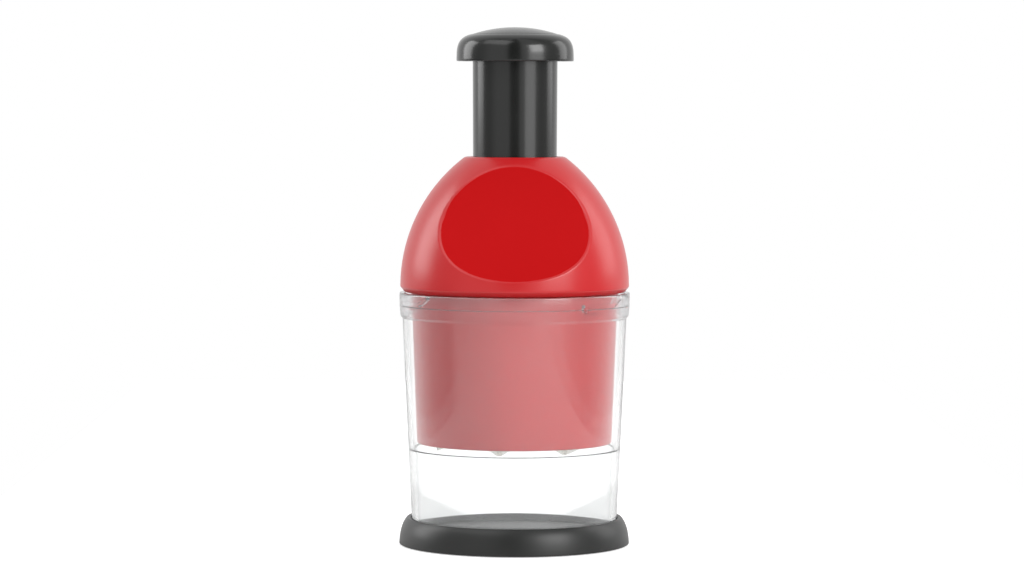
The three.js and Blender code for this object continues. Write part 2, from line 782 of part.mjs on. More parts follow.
// Measured from each point of the wire's line to every run at least half a turn further on
function leastGap(line) {
  let least = Infinity;
  const nearest = new THREE.Vector3();
  for (let i = 0; i < line.length; i++) {
    for (let j = i + spring.steps / 2; j + 1 < line.length; j++) {
      new THREE.Line3(line[j], line[j + 1]).closestPointToPoint(line[i], true, nearest);
      least = Math.min(least, nearest.distanceTo(line[i]) - spring.wire);
    }
  }
  return least;
}

// Plunger: stem with its stop flange and inner plate, knob, cap

function plungerStem() {
  const tube = revolve((path) => {
    path.moveTo(stemBore, stemBottom);
    path.lineTo(stemRadius + stem.flangeCover, stemBottom);
    path.lineTo(stemRadius + stem.flangeCover, stemBottom + stem.flange);
    path.lineTo(stemRadius, stemBottom + stem.flange);
    path.lineTo(stemRadius, domeTop);
    path.lineTo(stemRadius + stem.swell, knobBottom);
    path.lineTo(stemRadius + stem.swell, stemTop);
    path.lineTo(stemBore, stemTop);
    path.lineTo(stemBore, plateTop);
    path.lineTo(shaftHole, plateTop);
    path.lineTo(shaftHole, plateBottom);
    path.lineTo(stemBore, plateBottom);
    path.lineTo(stemBore, stemBottom);
  }, middleSteps);
  const pillars = knobScrewPlaces().map((x) => upright(stem.pillarRadius, plateTop - fit,
    plateTop + stem.pillarHeight, screw.steps, x));
  const holes = knobScrewPlaces().map((x) => upright(screw.shank + fit, plateTop + overrun,
    plateTop + stem.pillarHeight + overrun, screw.steps, x));
  return cut(joined(tube, ...pillars), ...holes);
}

const knobScrewPlaces = () => [-stem.pillarPlace, stem.pillarPlace];

function knobSizes() {
  const capEdge = knobBottom + knob.sideHeight;
  const plateTopSide = capEdge - knob.capSeat;
  return { capEdge, recess: plateTopSide, underPlate: plateTopSide - knob.plate };
}

function plungerKnob() {
  const { capEdge, recess, underPlate } = knobSizes();
  const socketBore = stemRadius + stem.swell + fit;
  const socketWall = socketBore + knob.socketWall;
  const hollow = knobRadius - knob.wall;
  const capWall = capRadius + fit;
  const sideHeight = capEdge - knobBottom;
  const crown = revolve((path) => {
    path.moveTo(0, underPlate);
    path.lineTo(socketBore, underPlate);
    path.lineTo(socketBore, knobBottom);
    path.lineTo(socketWall, knobBottom);
    path.lineTo(socketWall, underPlate);
    path.lineTo(hollow, underPlate);
    path.lineTo(hollow, knobBottom);
    path.lineTo(knobRadius - knob.footRound, knobBottom);
    path.lineTo(knobRadius, knobBottom + knob.footRound);
    path.bezierCurveTo(knobRadius, knobBottom + sideHeight / 2,
      knobRadius, capEdge - knob.crownFall, capWall, capEdge);
    path.lineTo(capWall, recess);
    path.lineTo(0, recess);
  }, middleSteps, 6);
  const pillarBottom = plateTop + stem.pillarHeight + fit;
  const pillarRadius = screw.headRadius + knob.pillarWall;
  const pillars = knobScrewPlaces().map((x) => upright(pillarRadius, pillarBottom,
    underPlate + fit, screw.steps, x));
  const holes = knobScrewPlaces().flatMap((x) => [
    upright(screw.shank + fit, pillarBottom - overrun, recess + overrun, screw.steps, x),
    upright(screw.headRadius + fit, recess - screw.headHeight - fit, recess + overrun, screw.steps, x),
  ]);
  return cut(joined(crown, ...pillars), ...holes);
}

function knobCap() {
  const sphere = (capRadius ** 2 + cap.bulge ** 2) / (2 * cap.bulge);
  const edge = knobSizes().capEdge;
  const halfAngle = Math.asin(capRadius / sphere);
  return revolve((path) => {
    path.moveTo(0, capFoot);
    path.lineTo(capRadius, capFoot);
    path.absarc(0, edge + cap.bulge - sphere, sphere, fullTurn / 4 - halfAngle, fullTurn / 4, false);
  }, middleSteps, 4);
}

// Self-tapping screw with its head down and its point up
function screwBody(length) {
  const corner = screw.headRadius * screw.cornerShare;
  return revolve((path) => {
    path.moveTo(0, -screw.headHeight);
    path.lineTo(corner, -screw.headHeight);
    path.quadraticCurveTo(screw.headRadius, -screw.headHeight, screw.headRadius, 0);
    path.lineTo(screw.shank, 0);
    path.lineTo(screw.shank, length - screw.point);
    path.lineTo(0, length);
  }, screw.steps, 4);
}

// Blade train: shaft, clip, pins, hub, strip

function clipGroove() {
  const bottom = plateTop + fit;
  return { bottom, top: bottom + washer.height + fit };
}

function bladeShaft() {
  const { bottom, top } = clipGroove();
  const grooveRadius = shaft.radius - shaft.grooveDepth;
  const bar = revolve((path) => {
    path.moveTo(0, hubTop + fit);
    path.lineTo(shaft.radius, hubTop + fit);
    path.lineTo(shaft.radius, shoulderBottom);
    path.lineTo(shaft.shoulderRadius, shoulderBottom);
    path.lineTo(shaft.shoulderRadius, shoulderTop);
    path.lineTo(shaft.radius, shoulderTop);
    path.lineTo(shaft.radius, bottom - fit);
    path.lineTo(grooveRadius, bottom - fit);
    path.lineTo(grooveRadius, top);
    path.lineTo(shaft.radius, top);
    path.lineTo(shaft.radius, top + shaft.endLength);
    path.lineTo(0, top + shaft.endLength);
  }, smallSteps);
  const across = 2 * (shaft.radius + overrun);
  return cut(bar, level(pinHole, across, pinRest, screw.steps),
    level(pinHole, across, hubTop + hub.pinRise, screw.steps));
}

function shaftClip() {
  const { bottom } = clipGroove();
  const inner = shaft.radius - shaft.grooveDepth + fit;
  const outer = shaft.radius + shaft.pinRadius;
  const halfGap = fullTurn * shaft.clipGapShare;
  const shape = new THREE.Shape();
  shape.absarc(0, 0, outer, halfGap, fullTurn - halfGap, false);
  shape.absarc(0, 0, inner, fullTurn - halfGap, halfGap, true);
  shape.closePath();
  const geometry = new THREE.ExtrudeGeometry(shape, {
    depth: washer.height, bevelEnabled: false, curveSegments: smallSteps,
  });
  return solid(geometry.translate(0, 0, bottom));
}

function bladeHub() {
  const radius = bladeCircle + hub.rimCover;
  const disc = revolve((path) => {
    path.moveTo(0, hubBottom);
    path.lineTo(radius, hubBottom);
    path.lineTo(radius, hubTop + hub.rimHeight);
    path.lineTo(radius - hub.rimWidth, hubTop + hub.rimHeight);
    path.lineTo(radius - hub.rimWidth, hubTop);
    path.lineTo(hub.bossRadius, hubTop);
    path.lineTo(hub.bossRadius, bossTop);
    path.lineTo(shaftHole, bossTop);
    path.lineTo(shaftHole, hubTop);
    path.lineTo(0, hubTop);
  }, wideSteps);
  const ribs = evenTurns(hub.ribCount).map((turn) => turned(hubRib(radius), turn + hub.ribStart));
  const groove = stripSolid([
    { z: hubBottom - overrun, half: blade.thickness / 2 + fit },
    { z: hubBottom + hub.groove, half: blade.thickness / 2 + fit },
  ]);
  const pin = level(pinHole, 2 * (hub.bossRadius + overrun), hubTop + hub.pinRise, screw.steps);
  return cut(joined(disc, ...ribs), groove, pin);
}

// Rib that falls from the boss to the rim
function hubRib(radius) {
  const shape = new THREE.Shape();
  const from = (shaftHole + hub.bossRadius) / 2;
  shape.moveTo(from, -fit);
  shape.lineTo(radius - hub.rimWidth / 2, -fit);
  shape.lineTo(radius - hub.rimWidth / 2, hub.rimHeight);
  shape.lineTo(from, hub.ribHeight);
  shape.closePath();
  const geometry = new THREE.ExtrudeGeometry(shape, { depth: hub.ribWidth, bevelEnabled: false });
  return solid(geometry.rotateX(fullTurn / 4).translate(0, hub.ribWidth / 2, hubTop));
}

function zigzagBlade() {
  return stripSolid([
    { z: tipRest, half: blade.edge / 2 },
    { z: tipRest + blade.bevel, half: blade.thickness / 2 },
    { z: bladeTop, half: blade.thickness / 2 },
  ]);
}

function wiperDisc() {
  const disc = upright(bladeCircle + wiper.rimCover, wiperBottom, wiperTop, wideSteps);
  const slot = stripSolid([
    { z: wiperBottom - overrun, half: blade.thickness / 2 + wiper.slotClearance },
    { z: wiperTop + overrun, half: blade.thickness / 2 + wiper.slotClearance },
  ]);
  return cut(disc, slot);
}

// Finishes

const finish = (color, roughness, metalness = 0, more = {}) =>
  new THREE.MeshStandardMaterial({ color, roughness, metalness, ...more });
const blackGloss = () => finish(0x30312f, 0.32);
const blackSatin = () => finish(0x343534, 0.45);
const rubber = () => finish(0x1c1c1c, 0.9);
const redGloss = () => finish(0xd01f22, 0.25);
const clearPlastic = () => finish(0xe9edf0, 0.08, 0, { transparent: true, opacity: 0.3 });
const whitePlastic = () => finish(0xe6e4df, 0.5);
const bladeSteel = () => finish(0xc9c7c1, 0.25, 1);
const springSteel = () => finish(0x9a9c9e, 0.35, 1);
const screwSteel = () => finish(0xaeb0b2, 0.4, 1);

// Assembly, one group for each set of pieces that moves as one

function named(name, made, material) {
  const mesh = new THREE.Mesh(surface(made), material);
  mesh.name = name;
  return mesh;
}

function group(...members) {
  const made = new THREE.Group();
  made.add(...members);
  return made;
}

function housingScrews() {
  const length = dome.bossHeight - dome.bossRoof - overrun + guard.deck;
  return screwPlaces().map(([x, y], i) => {
    const mesh = named(`housing_screw_${i + 1}`, screwBody(length), screwSteel());
    mesh.position.set(x, y, deckBottom - fit);
    return mesh;
  });
}

function knobScrews() {
  const { recess } = knobSizes();
  const seat = recess - screw.headHeight;
  const length = seat - (plateTop + overrun + fit);
  return knobScrewPlaces().map((x, i) => {
    const mesh = named(`knob_screw_${i + 1}`, screwBody(length), screwSteel());
    mesh.position.set(x, 0, seat);
    mesh.rotation.x = fullTurn / 2;
    return mesh;
  });
}

const washerRadius = shaft.shoulderRadius + washer.cover;
const pinLength = 2 * (sleeveRadius + shaft.pinRadius / 2);

export default group(
  group(
    named("base", baseCap(), blackSatin()),
    named("anti_slip_ring", antiSlipRing(), rubber()),
  ),
  group(
    named("container", clearContainer(), clearPlastic()),
  ),
  group(
    named("housing_dome", housingDome(), redGloss()),
    named("blade_guard", bladeGuard(), redGloss()),
    named("cam_sleeve", camSleeve(), whitePlastic()),
    named("shaft_bush", shaftBush(), whitePlastic()),
    named("return_spring", returnSpring(), springSteel()),
    ...housingScrews(),
  ),
  group(
    named("plunger_stem", plungerStem(), blackGloss()),
    named("plunger_knob", plungerKnob(), blackGloss()),
    named("knob_cap", knobCap(), blackGloss()),
    named("thrust_washer", ring(shaftHole, washerRadius, shoulderTop + fit,
      shoulderTop + fit + washer.height, smallSteps), whitePlastic()),
    ...knobScrews(),
  ),
  group(
    named("blade_shaft", bladeShaft(), bladeSteel()),
    named("shaft_clip", shaftClip(), springSteel()),
    named("index_pin", level(shaft.pinRadius, pinLength, pinRest, screw.steps), bladeSteel()),
    named("hub_pin", level(shaft.pinRadius, 2 * (hub.bossRadius - fit), hubTop + hub.pinRise,
      screw.steps), bladeSteel()),
    named("blade_hub", bladeHub(), whitePlastic()),
    named("zigzag_blade", zigzagBlade(), bladeSteel()),
  ),
  group(
    named("wiper_disc", wiperDisc(), whitePlastic()),
  ),
);
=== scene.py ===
# Looks of the plunger food chopper: smooth shells, clear cup, zigzag blade, plastics and metals.
# Sizes are in millimetres up to the mesh, where mm turns them to metres.

import cmath
import functools
import math

import bpy
import bmesh
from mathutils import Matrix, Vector


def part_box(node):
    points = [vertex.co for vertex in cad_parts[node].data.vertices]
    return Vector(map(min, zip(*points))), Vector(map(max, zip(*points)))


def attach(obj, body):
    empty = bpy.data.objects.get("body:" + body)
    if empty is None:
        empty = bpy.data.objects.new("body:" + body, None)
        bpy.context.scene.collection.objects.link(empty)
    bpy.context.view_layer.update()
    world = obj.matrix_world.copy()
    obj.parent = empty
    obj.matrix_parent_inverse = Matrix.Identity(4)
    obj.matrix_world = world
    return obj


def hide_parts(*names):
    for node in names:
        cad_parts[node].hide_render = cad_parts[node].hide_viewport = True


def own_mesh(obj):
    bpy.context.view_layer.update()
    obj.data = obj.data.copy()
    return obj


mm = 0.001
tiny = 1e-6

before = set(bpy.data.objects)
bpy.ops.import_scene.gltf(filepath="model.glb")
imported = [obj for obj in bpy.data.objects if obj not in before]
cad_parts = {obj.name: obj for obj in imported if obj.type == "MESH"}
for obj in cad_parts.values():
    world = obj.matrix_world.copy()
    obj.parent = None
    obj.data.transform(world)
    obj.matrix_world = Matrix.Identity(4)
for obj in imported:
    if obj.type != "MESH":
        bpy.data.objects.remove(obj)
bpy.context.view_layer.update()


def low(node):
    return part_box(node)[0].z / mm


def high(node):
    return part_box(node)[1].z / mm


def reach(node):
    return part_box(node)[1].y / mm


# Sizes read from the frame
base_foot, base_rim, base_reach = low("base"), high("base"), reach("base")
cup_foot, cup_top, collar_radius = low("container"), high("container"), reach("container")
guard_foot, guard_top = low("blade_guard"), high("blade_guard")
spigot_foot, dome_top, dome_radius = low("housing_dome"), high("housing_dome"), reach("housing_dome")
stem_foot, stem_top, stem_flange_radius = low("plunger_stem"), high("plunger_stem"), reach("plunger_stem")
knob_edge, knob_radius = high("plunger_knob"), reach("plunger_knob")
cap_foot, cap_top, cap_radius = low("knob_cap"), high("knob_cap"), reach("knob_cap")
blade_foot, blade_head = low("zigzag_blade"), high("zigzag_blade")
wiper_foot, wiper_head, wiper_radius = low("wiper_disc"), high("wiper_disc"), reach("wiper_disc")
spring_foot, spring_head, spring_reach = low("return_spring"), high("return_spring"), reach("return_spring")

# Sizes of the pieces' inner forms
fit = 0.3
stroke = 34
floor_top = blade_foot - stroke - fit

cup_wall = 2.1
cup_draft = 0.0457
cup_ledge_drop = 0.1
cup_ledge = blade_foot - cup_ledge_drop
cup_ledge_bore = 46.2
cup_ledge_width = 1.2
collar_height = 11.7
collar_foot = 1.2
collar_foot_share = 0.7
collar_swell = 6.7
collar_wall = 2.5
collar_step = 5.8
collar_bore = collar_radius - collar_wall

guard_wall = 2.1
guard_draft = 0.0386
guard_foot_radius = 44.4
guard_lip = 41
guard_lip_height = 0.8
guard_deck = 2.5
guard_rim = 2.2
deck_top = guard_top - guard_rim
deck_foot = deck_top - guard_deck

dome_foot = cup_top + fit
dome_chamfer = 2.4
dome_edge = dome_foot + dome_chamfer
dome_wall = 2.5
dome_flange = 2.4
dome_seat_inset = 2.3
dome_seat = collar_radius - dome_seat_inset
dome_flat_width = 3
guide_bore = 19.6
guide_wall = 2
dome_flat = guide_bore + dome_flat_width

scoop_radius = 58
scoop_depth = 27
scoop_drop = 7
scoop_axis = scoop_radius + scoop_depth
scoop_height = dome_top - scoop_drop
scoop_edge = 0.8

stem_flange_width = 2.25
stem_radius = stem_flange_radius - stem_flange_width
stem_swell = 0.2
stem_bore = 16.7
stem_flange = 3
guide_foot = stem_foot + stem_flange + fit
shaft_hole = 5.3

knob_side = 12.3
knob_foot = knob_edge - knob_side
stem_plate_depth = 12
stem_plate_top = knob_foot - stem_plate_depth
stem_plate = 3

blade_circle = 40.4
blade_thickness = 0.8
blade_edge = 0.16
blade_bevel = 1.6
fold_bore = 0.65
fold_pitch = 14.38
fold_count = 6
fold_shift = 0.55
fold_steps = 20
slot_gap = 0.45
overrun = 1


def cup_bore(height):
    return cup_ledge_bore + cup_draft * (height - cup_ledge)


def cup_radius(height):
    return cup_bore(height) + cup_wall


def guard_radius(height):
    return guard_foot_radius + guard_draft * (height - guard_foot)


def guard_bore(height):
    return guard_radius(height) - guard_wall


spigot_wall = 1.6
spigot_radius = guard_bore(deck_top) - fit
spigot_bore = spigot_radius - spigot_wall


# Nodes of the materials

def linear(code):
    """An sRGB hex colour as the linear colour that a shader takes."""
    channels = [int(code[start:start + 2], 16) / 255 for start in (1, 3, 5)]
    return [c / 12.92 if c <= 0.04045 else ((c + 0.055) / 1.055) ** 2.4 for c in channels] + [1]


def add(tree, kind, inputs=(), **settings):
    """Adds a node; inputs gives each socket, by name or number, a value or another node's output."""
    made = tree.nodes.new(kind)
    for name, value in settings.items():
        setattr(made, name, value)
    for name, value in dict(inputs).items():
        if isinstance(value, bpy.types.NodeSocket):
            tree.links.new(value, made.inputs[name])
        else:
            made.inputs[name].default_value = value
    return made


def blank(name):
    material = bpy.data.materials.new(name)
    material.use_nodes = True
    material.node_tree.nodes.clear()
    return material, material.node_tree


def per_metre(size):
    """Scale of a pattern whose marks are this many millimetres apart."""
    return 1 / (size * mm)


def moulded(name, colour, deeper, gloss, peel, peel_height, grain, grain_height, specular=0.5):
    """Moulded plastic: two close colours in slow clouds, a gloss that varies, slow waves and a fine grain.

    gloss is the lowest and highest roughness; peel and grain are the spacing of the waves and the grain
    in millimetres, each with its height.
    """
    cloud = 28
    material, tree = blank(name)
    place = add(tree, "ShaderNodeTexCoord").outputs["Object"]
    clouds = add(tree, "ShaderNodeTexNoise", {"Vector": place, "Scale": per_metre(cloud), "Detail": 2})
    mixed = add(tree, "ShaderNodeMix", {
        0: clouds.outputs["Fac"], 6: linear(colour), 7: linear(deeper)}, data_type="RGBA")
    wave = add(tree, "ShaderNodeTexNoise", {"Vector": place, "Scale": per_metre(peel), "Detail": 1})
    fine = add(tree, "ShaderNodeTexNoise", {"Vector": place, "Scale": per_metre(grain), "Detail": 3})
    rough = add(tree, "ShaderNodeMapRange", {
        "Value": wave.outputs["Fac"], "To Min": gloss[0], "To Max": gloss[1]})
    slow = add(tree, "ShaderNodeBump", {"Height": wave.outputs["Fac"], "Distance": peel_height * mm})
    both = add(tree, "ShaderNodeBump", {
        "Height": fine.outputs["Fac"], "Distance": grain_height * mm, "Normal": slow.outputs["Normal"]})
    shader = add(tree, "ShaderNodeBsdfPrincipled", {
        "Base Color": mixed.outputs[2], "Roughness": rough.outputs["Result"], "IOR": 1.53,
        "Specular IOR Level": specular, "Normal": both.outputs["Normal"]})
    add(tree, "ShaderNodeOutputMaterial", {"Surface": shader.outputs["BSDF"]})
    return material


def polished_red_abs():
    # ABS from a polished tool: wet gloss over a dense red, with the slight waviness of a moulded shell
    return moulded("polished_red_abs", "#c81e22", "#c01a1e", gloss=(0.28, 0.31),
                   peel=12, peel_height=0.004, grain=0.9, grain_height=0.0004)


def eroded_shaded_red_abs():
    # The same ABS from a spark-eroded face of the tool: a dry matt red with hardly a reflection, its darker
    # red painted shade for the finger hollows
    return moulded("eroded_shaded_red_abs", "#be1013", "#ba0e11", gloss=(0.62, 0.7),
                   peel=12, peel_height=0.004, grain=0.35, grain_height=0.004, specular=0.06)


def satin_black_abs():
    # Black ABS from a lightly brushed tool: charcoal with soft reflections along the stem
    return moulded("satin_black_abs", "#1d1e1d", "#191a19", gloss=(0.17, 0.22),
                   peel=11, peel_height=0.006, grain=0.8, grain_height=0.0006)


def black_polypropylene():
    # Moulded polypropylene: a shade greyer and softer in its reflections than the handle's ABS
    return moulded("black_polypropylene", "#222322", "#1d1e1d", gloss=(0.34, 0.41),
                   peel=14, peel_height=0.01, grain=0.7, grain_height=0.0012, specular=0.42)


def white_acetal():
    # Moulded acetal: waxy off-white with a dull shine
    return moulded("white_acetal", "#e6e4df", "#dedcd6", gloss=(0.38, 0.46),
                   peel=10, peel_height=0.01, grain=0.6, grain_height=0.002)


def moulded_tpe():
    # Moulded thermoplastic rubber: dead black, dusty, nearly no shine
    return moulded("moulded_tpe", "#1c1c1c", "#232323", gloss=(0.8, 0.92),
                   peel=6, peel_height=0.01, grain=0.4, grain_height=0.01, specular=0.3)


def metal(name, colour, deeper, gloss, line, line_height, stretch=(1, 1, 1)):
    """Metal with marks: line is their spacing, and a smaller scale in stretch lengthens them that way."""
    material, tree = blank(name)
    place = add(tree, "ShaderNodeTexCoord").outputs["Object"]
    along = add(tree, "ShaderNodeMapping", {"Vector": place, "Scale": stretch})
    marks = add(tree, "ShaderNodeTexNoise", {
        "Vector": along.outputs["Vector"], "Scale": per_metre(line), "Detail": 4})
    mixed = add(tree, "ShaderNodeMix", {
        0: marks.outputs["Fac"], 6: linear(colour), 7: linear(deeper)}, data_type="RGBA")
    rough = add(tree, "ShaderNodeMapRange", {
        "Value": marks.outputs["Fac"], "To Min": gloss[0], "To Max": gloss[1]})
    bump = add(tree, "ShaderNodeBump", {"Height": marks.outputs["Fac"], "Distance": line_height * mm})
    shader = add(tree, "ShaderNodeBsdfPrincipled", {
        "Base Color": mixed.outputs[2], "Metallic": 1, "Roughness": rough.outputs["Result"],
        "Normal": bump.outputs["Normal"]})
    add(tree, "ShaderNodeOutputMaterial", {"Surface": shader.outputs["BSDF"]})
    return material


def ground_stainless():
    # Stainless strip, ground upright: pale warm steel with fine lines that spread its reflections.
    # The grinding lines are really 0.05 mm apart and are drawn at 0.4 mm to show.
    return metal("ground_stainless", "#d6d2ca", "#bdb9b1", gloss=(0.2, 0.34),
                 line=0.4, line_height=0.001, stretch=(1, 1, 0.06))


def drawn_spring_wire():
    # Cold-drawn wire: grey, with faint marks and a dull shine
    return metal("drawn_spring_wire", "#a3a5a7", "#8c8e90", gloss=(0.28, 0.38), line=0.5, line_height=0.001)


def zinc_plated_steel():
    # Bright zinc over pressed steel: bluish silver, a little cloudy
    return metal("zinc_plated_steel", "#b9bdc2", "#a4a8ad", gloss=(0.3, 0.42), line=0.8, line_height=0.002)


def clear_plastic(name, face, edge, shade_start, gloss, transmission):
    """See-through plastic: where a wall is seen edge-on it turns from face to edge colour, painted shade
    for its grey outlines.
    """
    edge_end, wave, wave_height = 0.99, 22, 0.006
    material, tree = blank(name)
    # Painted shade: walls seen edge-on darken towards the edge colour, standing in for the dark outlines
    # that refraction gives
    edge_on = add(tree, "ShaderNodeLayerWeight", {"Blend": 0.5})
    depth = add(tree, "ShaderNodeMapRange", {
        "Value": edge_on.outputs["Facing"], "From Min": shade_start, "From Max": edge_end},
        interpolation_type="SMOOTHSTEP")
    painted_edge_shade = add(tree, "ShaderNodeMix", {
        0: depth.outputs["Result"], 6: linear(face), 7: linear(edge)}, data_type="RGBA")
    place = add(tree, "ShaderNodeTexCoord").outputs["Object"]
    flow = add(tree, "ShaderNodeTexNoise", {"Vector": place, "Scale": per_metre(wave), "Detail": 1})
    rough = add(tree, "ShaderNodeMapRange", {
        "Value": flow.outputs["Fac"], "To Min": gloss[0], "To Max": gloss[1]})
    bump = add(tree, "ShaderNodeBump", {"Height": flow.outputs["Fac"], "Distance": wave_height * mm})
    shader = add(tree, "ShaderNodeBsdfPrincipled", {
        "Base Color": painted_edge_shade.outputs[2], "Roughness": rough.outputs["Result"], "IOR": 1.49,
        "Transmission Weight": transmission, "Normal": bump.outputs["Normal"]})
    through = add(tree, "ShaderNodeBsdfTransparent", {"Color": linear("#f2f4f4")})
    path = add(tree, "ShaderNodeLightPath")
    both = add(tree, "ShaderNodeMixShader", {
        0: path.outputs["Is Shadow Ray"], 1: shader.outputs["BSDF"], 2: through.outputs["BSDF"]})
    add(tree, "ShaderNodeOutputMaterial", {"Surface": both.outputs["Shader"]})
    return material


def polished_san():
    # Styrene acrylonitrile from a polished tool: glass-clear, with a faint milky veil and a soft waviness
    # The grey edge colour is painted shade along walls seen edge-on
    return clear_plastic("polished_san", "#fbfcfc", "#bfc1c4", shade_start=0.72,
                         gloss=(0.015, 0.05), transmission=0.955)


def blasted_san():
    # The same plastic from a finely blasted face of the tool: a grey veil that softens what lies behind it
    # The pale grey edge colour is painted shade along walls seen edge-on
    return clear_plastic("blasted_san", "#f4f5f6", "#dcdde0", shade_start=0.5,
                         gloss=(0.13, 0.17), transmission=0.93)


red_gloss = polished_red_abs()
red_matt_shaded = eroded_shaded_red_abs()
handle_black = satin_black_abs()
base_black = black_polypropylene()
clear = polished_san()
clear_veiled = blasted_san()
white = white_acetal()
rubber = moulded_tpe()
steel = ground_stainless()
wire_steel = drawn_spring_wire()
zinc = zinc_plated_steel()


# Meshes

screw_columns = 32
small_columns = 128
medium_columns = 160
wide_columns = 192
dome_columns = 432


def rounded(corners, closed=True, steps=4):
    """Outline through corners (radius, height, rounding), each rounding a curve of that reach."""
    outline = []
    for i, (radius, height, *rounding) in enumerate(corners):
        corner = Vector((radius, height))
        at_end = not closed and i in (0, len(corners) - 1)
        if not rounding or at_end:
            outline.append(corner)
            continue
        before = Vector(corners[i - 1][:2]) - corner
        after = Vector(corners[(i + 1) % len(corners)][:2]) - corner
        size = min(rounding[0], before.length / 2, after.length / 2)
        start = corner + before.normalized() * size
        end = corner + after.normalized() * size
        for step in range(steps + 1):
            share = step / steps
            outline.append(start.lerp(corner, share).lerp(corner.lerp(end, share), share))
    return outline


def bend(start, control, end, steps):
    """Points of a curve from start to end, drawn towards control, without both ends."""
    shares = [step / steps for step in range(1, steps)]
    ends = [Vector(start), Vector(control), Vector(end)]
    points = [ends[0].lerp(ends[1], share).lerp(ends[1].lerp(ends[2], share), share) for share in shares]
    return [tuple(point) for point in points]


def shell(name, verts, faces):
    """A mesh object with merged corners and faces that point out; verts are in millimetres."""
    mesh = bpy.data.meshes.new(name)
    mesh.from_pydata([[value * mm for value in vert] for vert in verts], [], faces)
    edit = bmesh.new()
    edit.from_mesh(mesh)
    bmesh.ops.remove_doubles(edit, verts=edit.verts, dist=tiny)
    bmesh.ops.recalc_face_normals(edit, faces=edit.faces)
    edit.to_mesh(mesh)
    edit.free()
    made = bpy.data.objects.new(name, mesh)
    bpy.context.scene.collection.objects.link(made)
    return made


def lathe(name, outline, columns, closed=True, shape=None):
    """Turns an outline round the axis; shape(point, angle) may give a radius and height for each angle."""
    verts, faces, rings = [], [], []
    for point in outline:
        if point[0] < tiny:
            rings.append([len(verts)])
            verts.append((0, 0, point[1]))
            continue
        rings.append(range(len(verts), len(verts) + columns))
        for column in range(columns):
            angle = math.tau * column / columns
            radius, height = shape(point, angle) if shape else point[:2]
            verts.append((radius * math.cos(angle), radius * math.sin(angle), height))
    following = rings[1:] + rings[:1] if closed else rings[1:]
    for lower, upper in zip(rings, following):
        for column in range(columns):
            after = (column + 1) % columns
            corners = [lower[column % len(lower)], lower[after % len(lower)],
                       upper[after % len(upper)], upper[column % len(upper)]]
            face = list(dict.fromkeys(corners))
            if len(face) > 2:
                faces.append(face)
    return shell(name, verts, faces)


def turned_solid(name, corners, columns):
    """A lathed piece whose outline begins and ends on the axis."""
    return lathe(name, rounded(corners, closed=False), columns, closed=False)


def swept(name, sections):
    """A skin over sections of equal corner counts, shut at both ends."""
    count = len(sections[0])
    verts = [corner for section in sections for corner in section]
    faces = []
    for start in range(0, len(verts) - count, count):
        after = start + count
        for side in range(count):
            turn = (side + 1) % count
            faces.append([start + side, start + turn, after + turn, after + side])
    faces.append(list(range(count)))
    faces.append(list(range(len(verts) - count, len(verts))))
    return shell(name, verts, faces)


def bent_bar(name, steps, place):
    """A bar bent round the axis; place(along, out, up) gives radius, degrees and height."""
    sections = []
    for step in range(steps + 1):
        section = []
        for out, up in ((0, 0), (1, 0), (1, 1), (0, 1)):
            radius, degrees, height = place(step / steps, out, up)
            angle = math.radians(degrees)
            section.append((radius * math.cos(angle), radius * math.sin(angle), height))
        sections.append(section)
    return swept(name, sections)


def block(name, start, end, degrees=0):
    """A straight bar between two corners, turned about the axis."""
    turn = cmath.rect(1, math.radians(degrees))
    sections = []
    for x in (start[0], end[0]):
        corners = [(start[1], start[2]), (end[1], start[2]), (end[1], end[2]), (start[1], end[2])]
        places = [(complex(x, y) * turn, z) for y, z in corners]
        sections.append([(place.real, place.imag, z) for place, z in places])
    return swept(name, sections)


def combined(piece, others, operation):
    """The piece joined with the others, or cut by them, as one clean mesh."""
    for other in others:
        step = piece.modifiers.new(operation.lower(), "BOOLEAN")
        step.operation = operation
        step.object = other
        step.solver = "EXACT"
    bpy.context.view_layer.update()
    result = bpy.data.meshes.new_from_object(piece.evaluated_get(bpy.context.evaluated_depsgraph_get()))
    piece.modifiers.clear()
    piece.data = result
    for other in others:
        bpy.data.objects.remove(other)
    return piece


def dressed(piece, body, materials, replaced, sharp=32):
    """Shading smooth up to sharp degrees, finish, the body it rides on and the node that it stands for."""
    mesh = piece.data
    mesh.materials.clear()
    for material in materials:
        mesh.materials.append(material)
    mesh.shade_smooth()
    mesh.set_sharp_from_angle(angle=math.radians(sharp))
    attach(piece, body)
    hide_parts(replaced)
    return piece


# Base: cap with a chopping surface, its skirt flared to the table

channel_floor = 3.6
channel_wall = 1.7
plate_wall = 2.4
skirt_wall = 1.8
rim_width = 1.7
belly_share = 0.72
pocket_share = 0.55
belly_inset = 0.3
pocket_taper = 0.5
base_rib = 1.6
base_rib_drop = 3.4
groove_width = 5
groove_top = 2.1
groove_inset = 1.6
groove_outer = cup_radius(channel_floor) + fit - groove_inset
groove_inner = groove_outer - groove_width


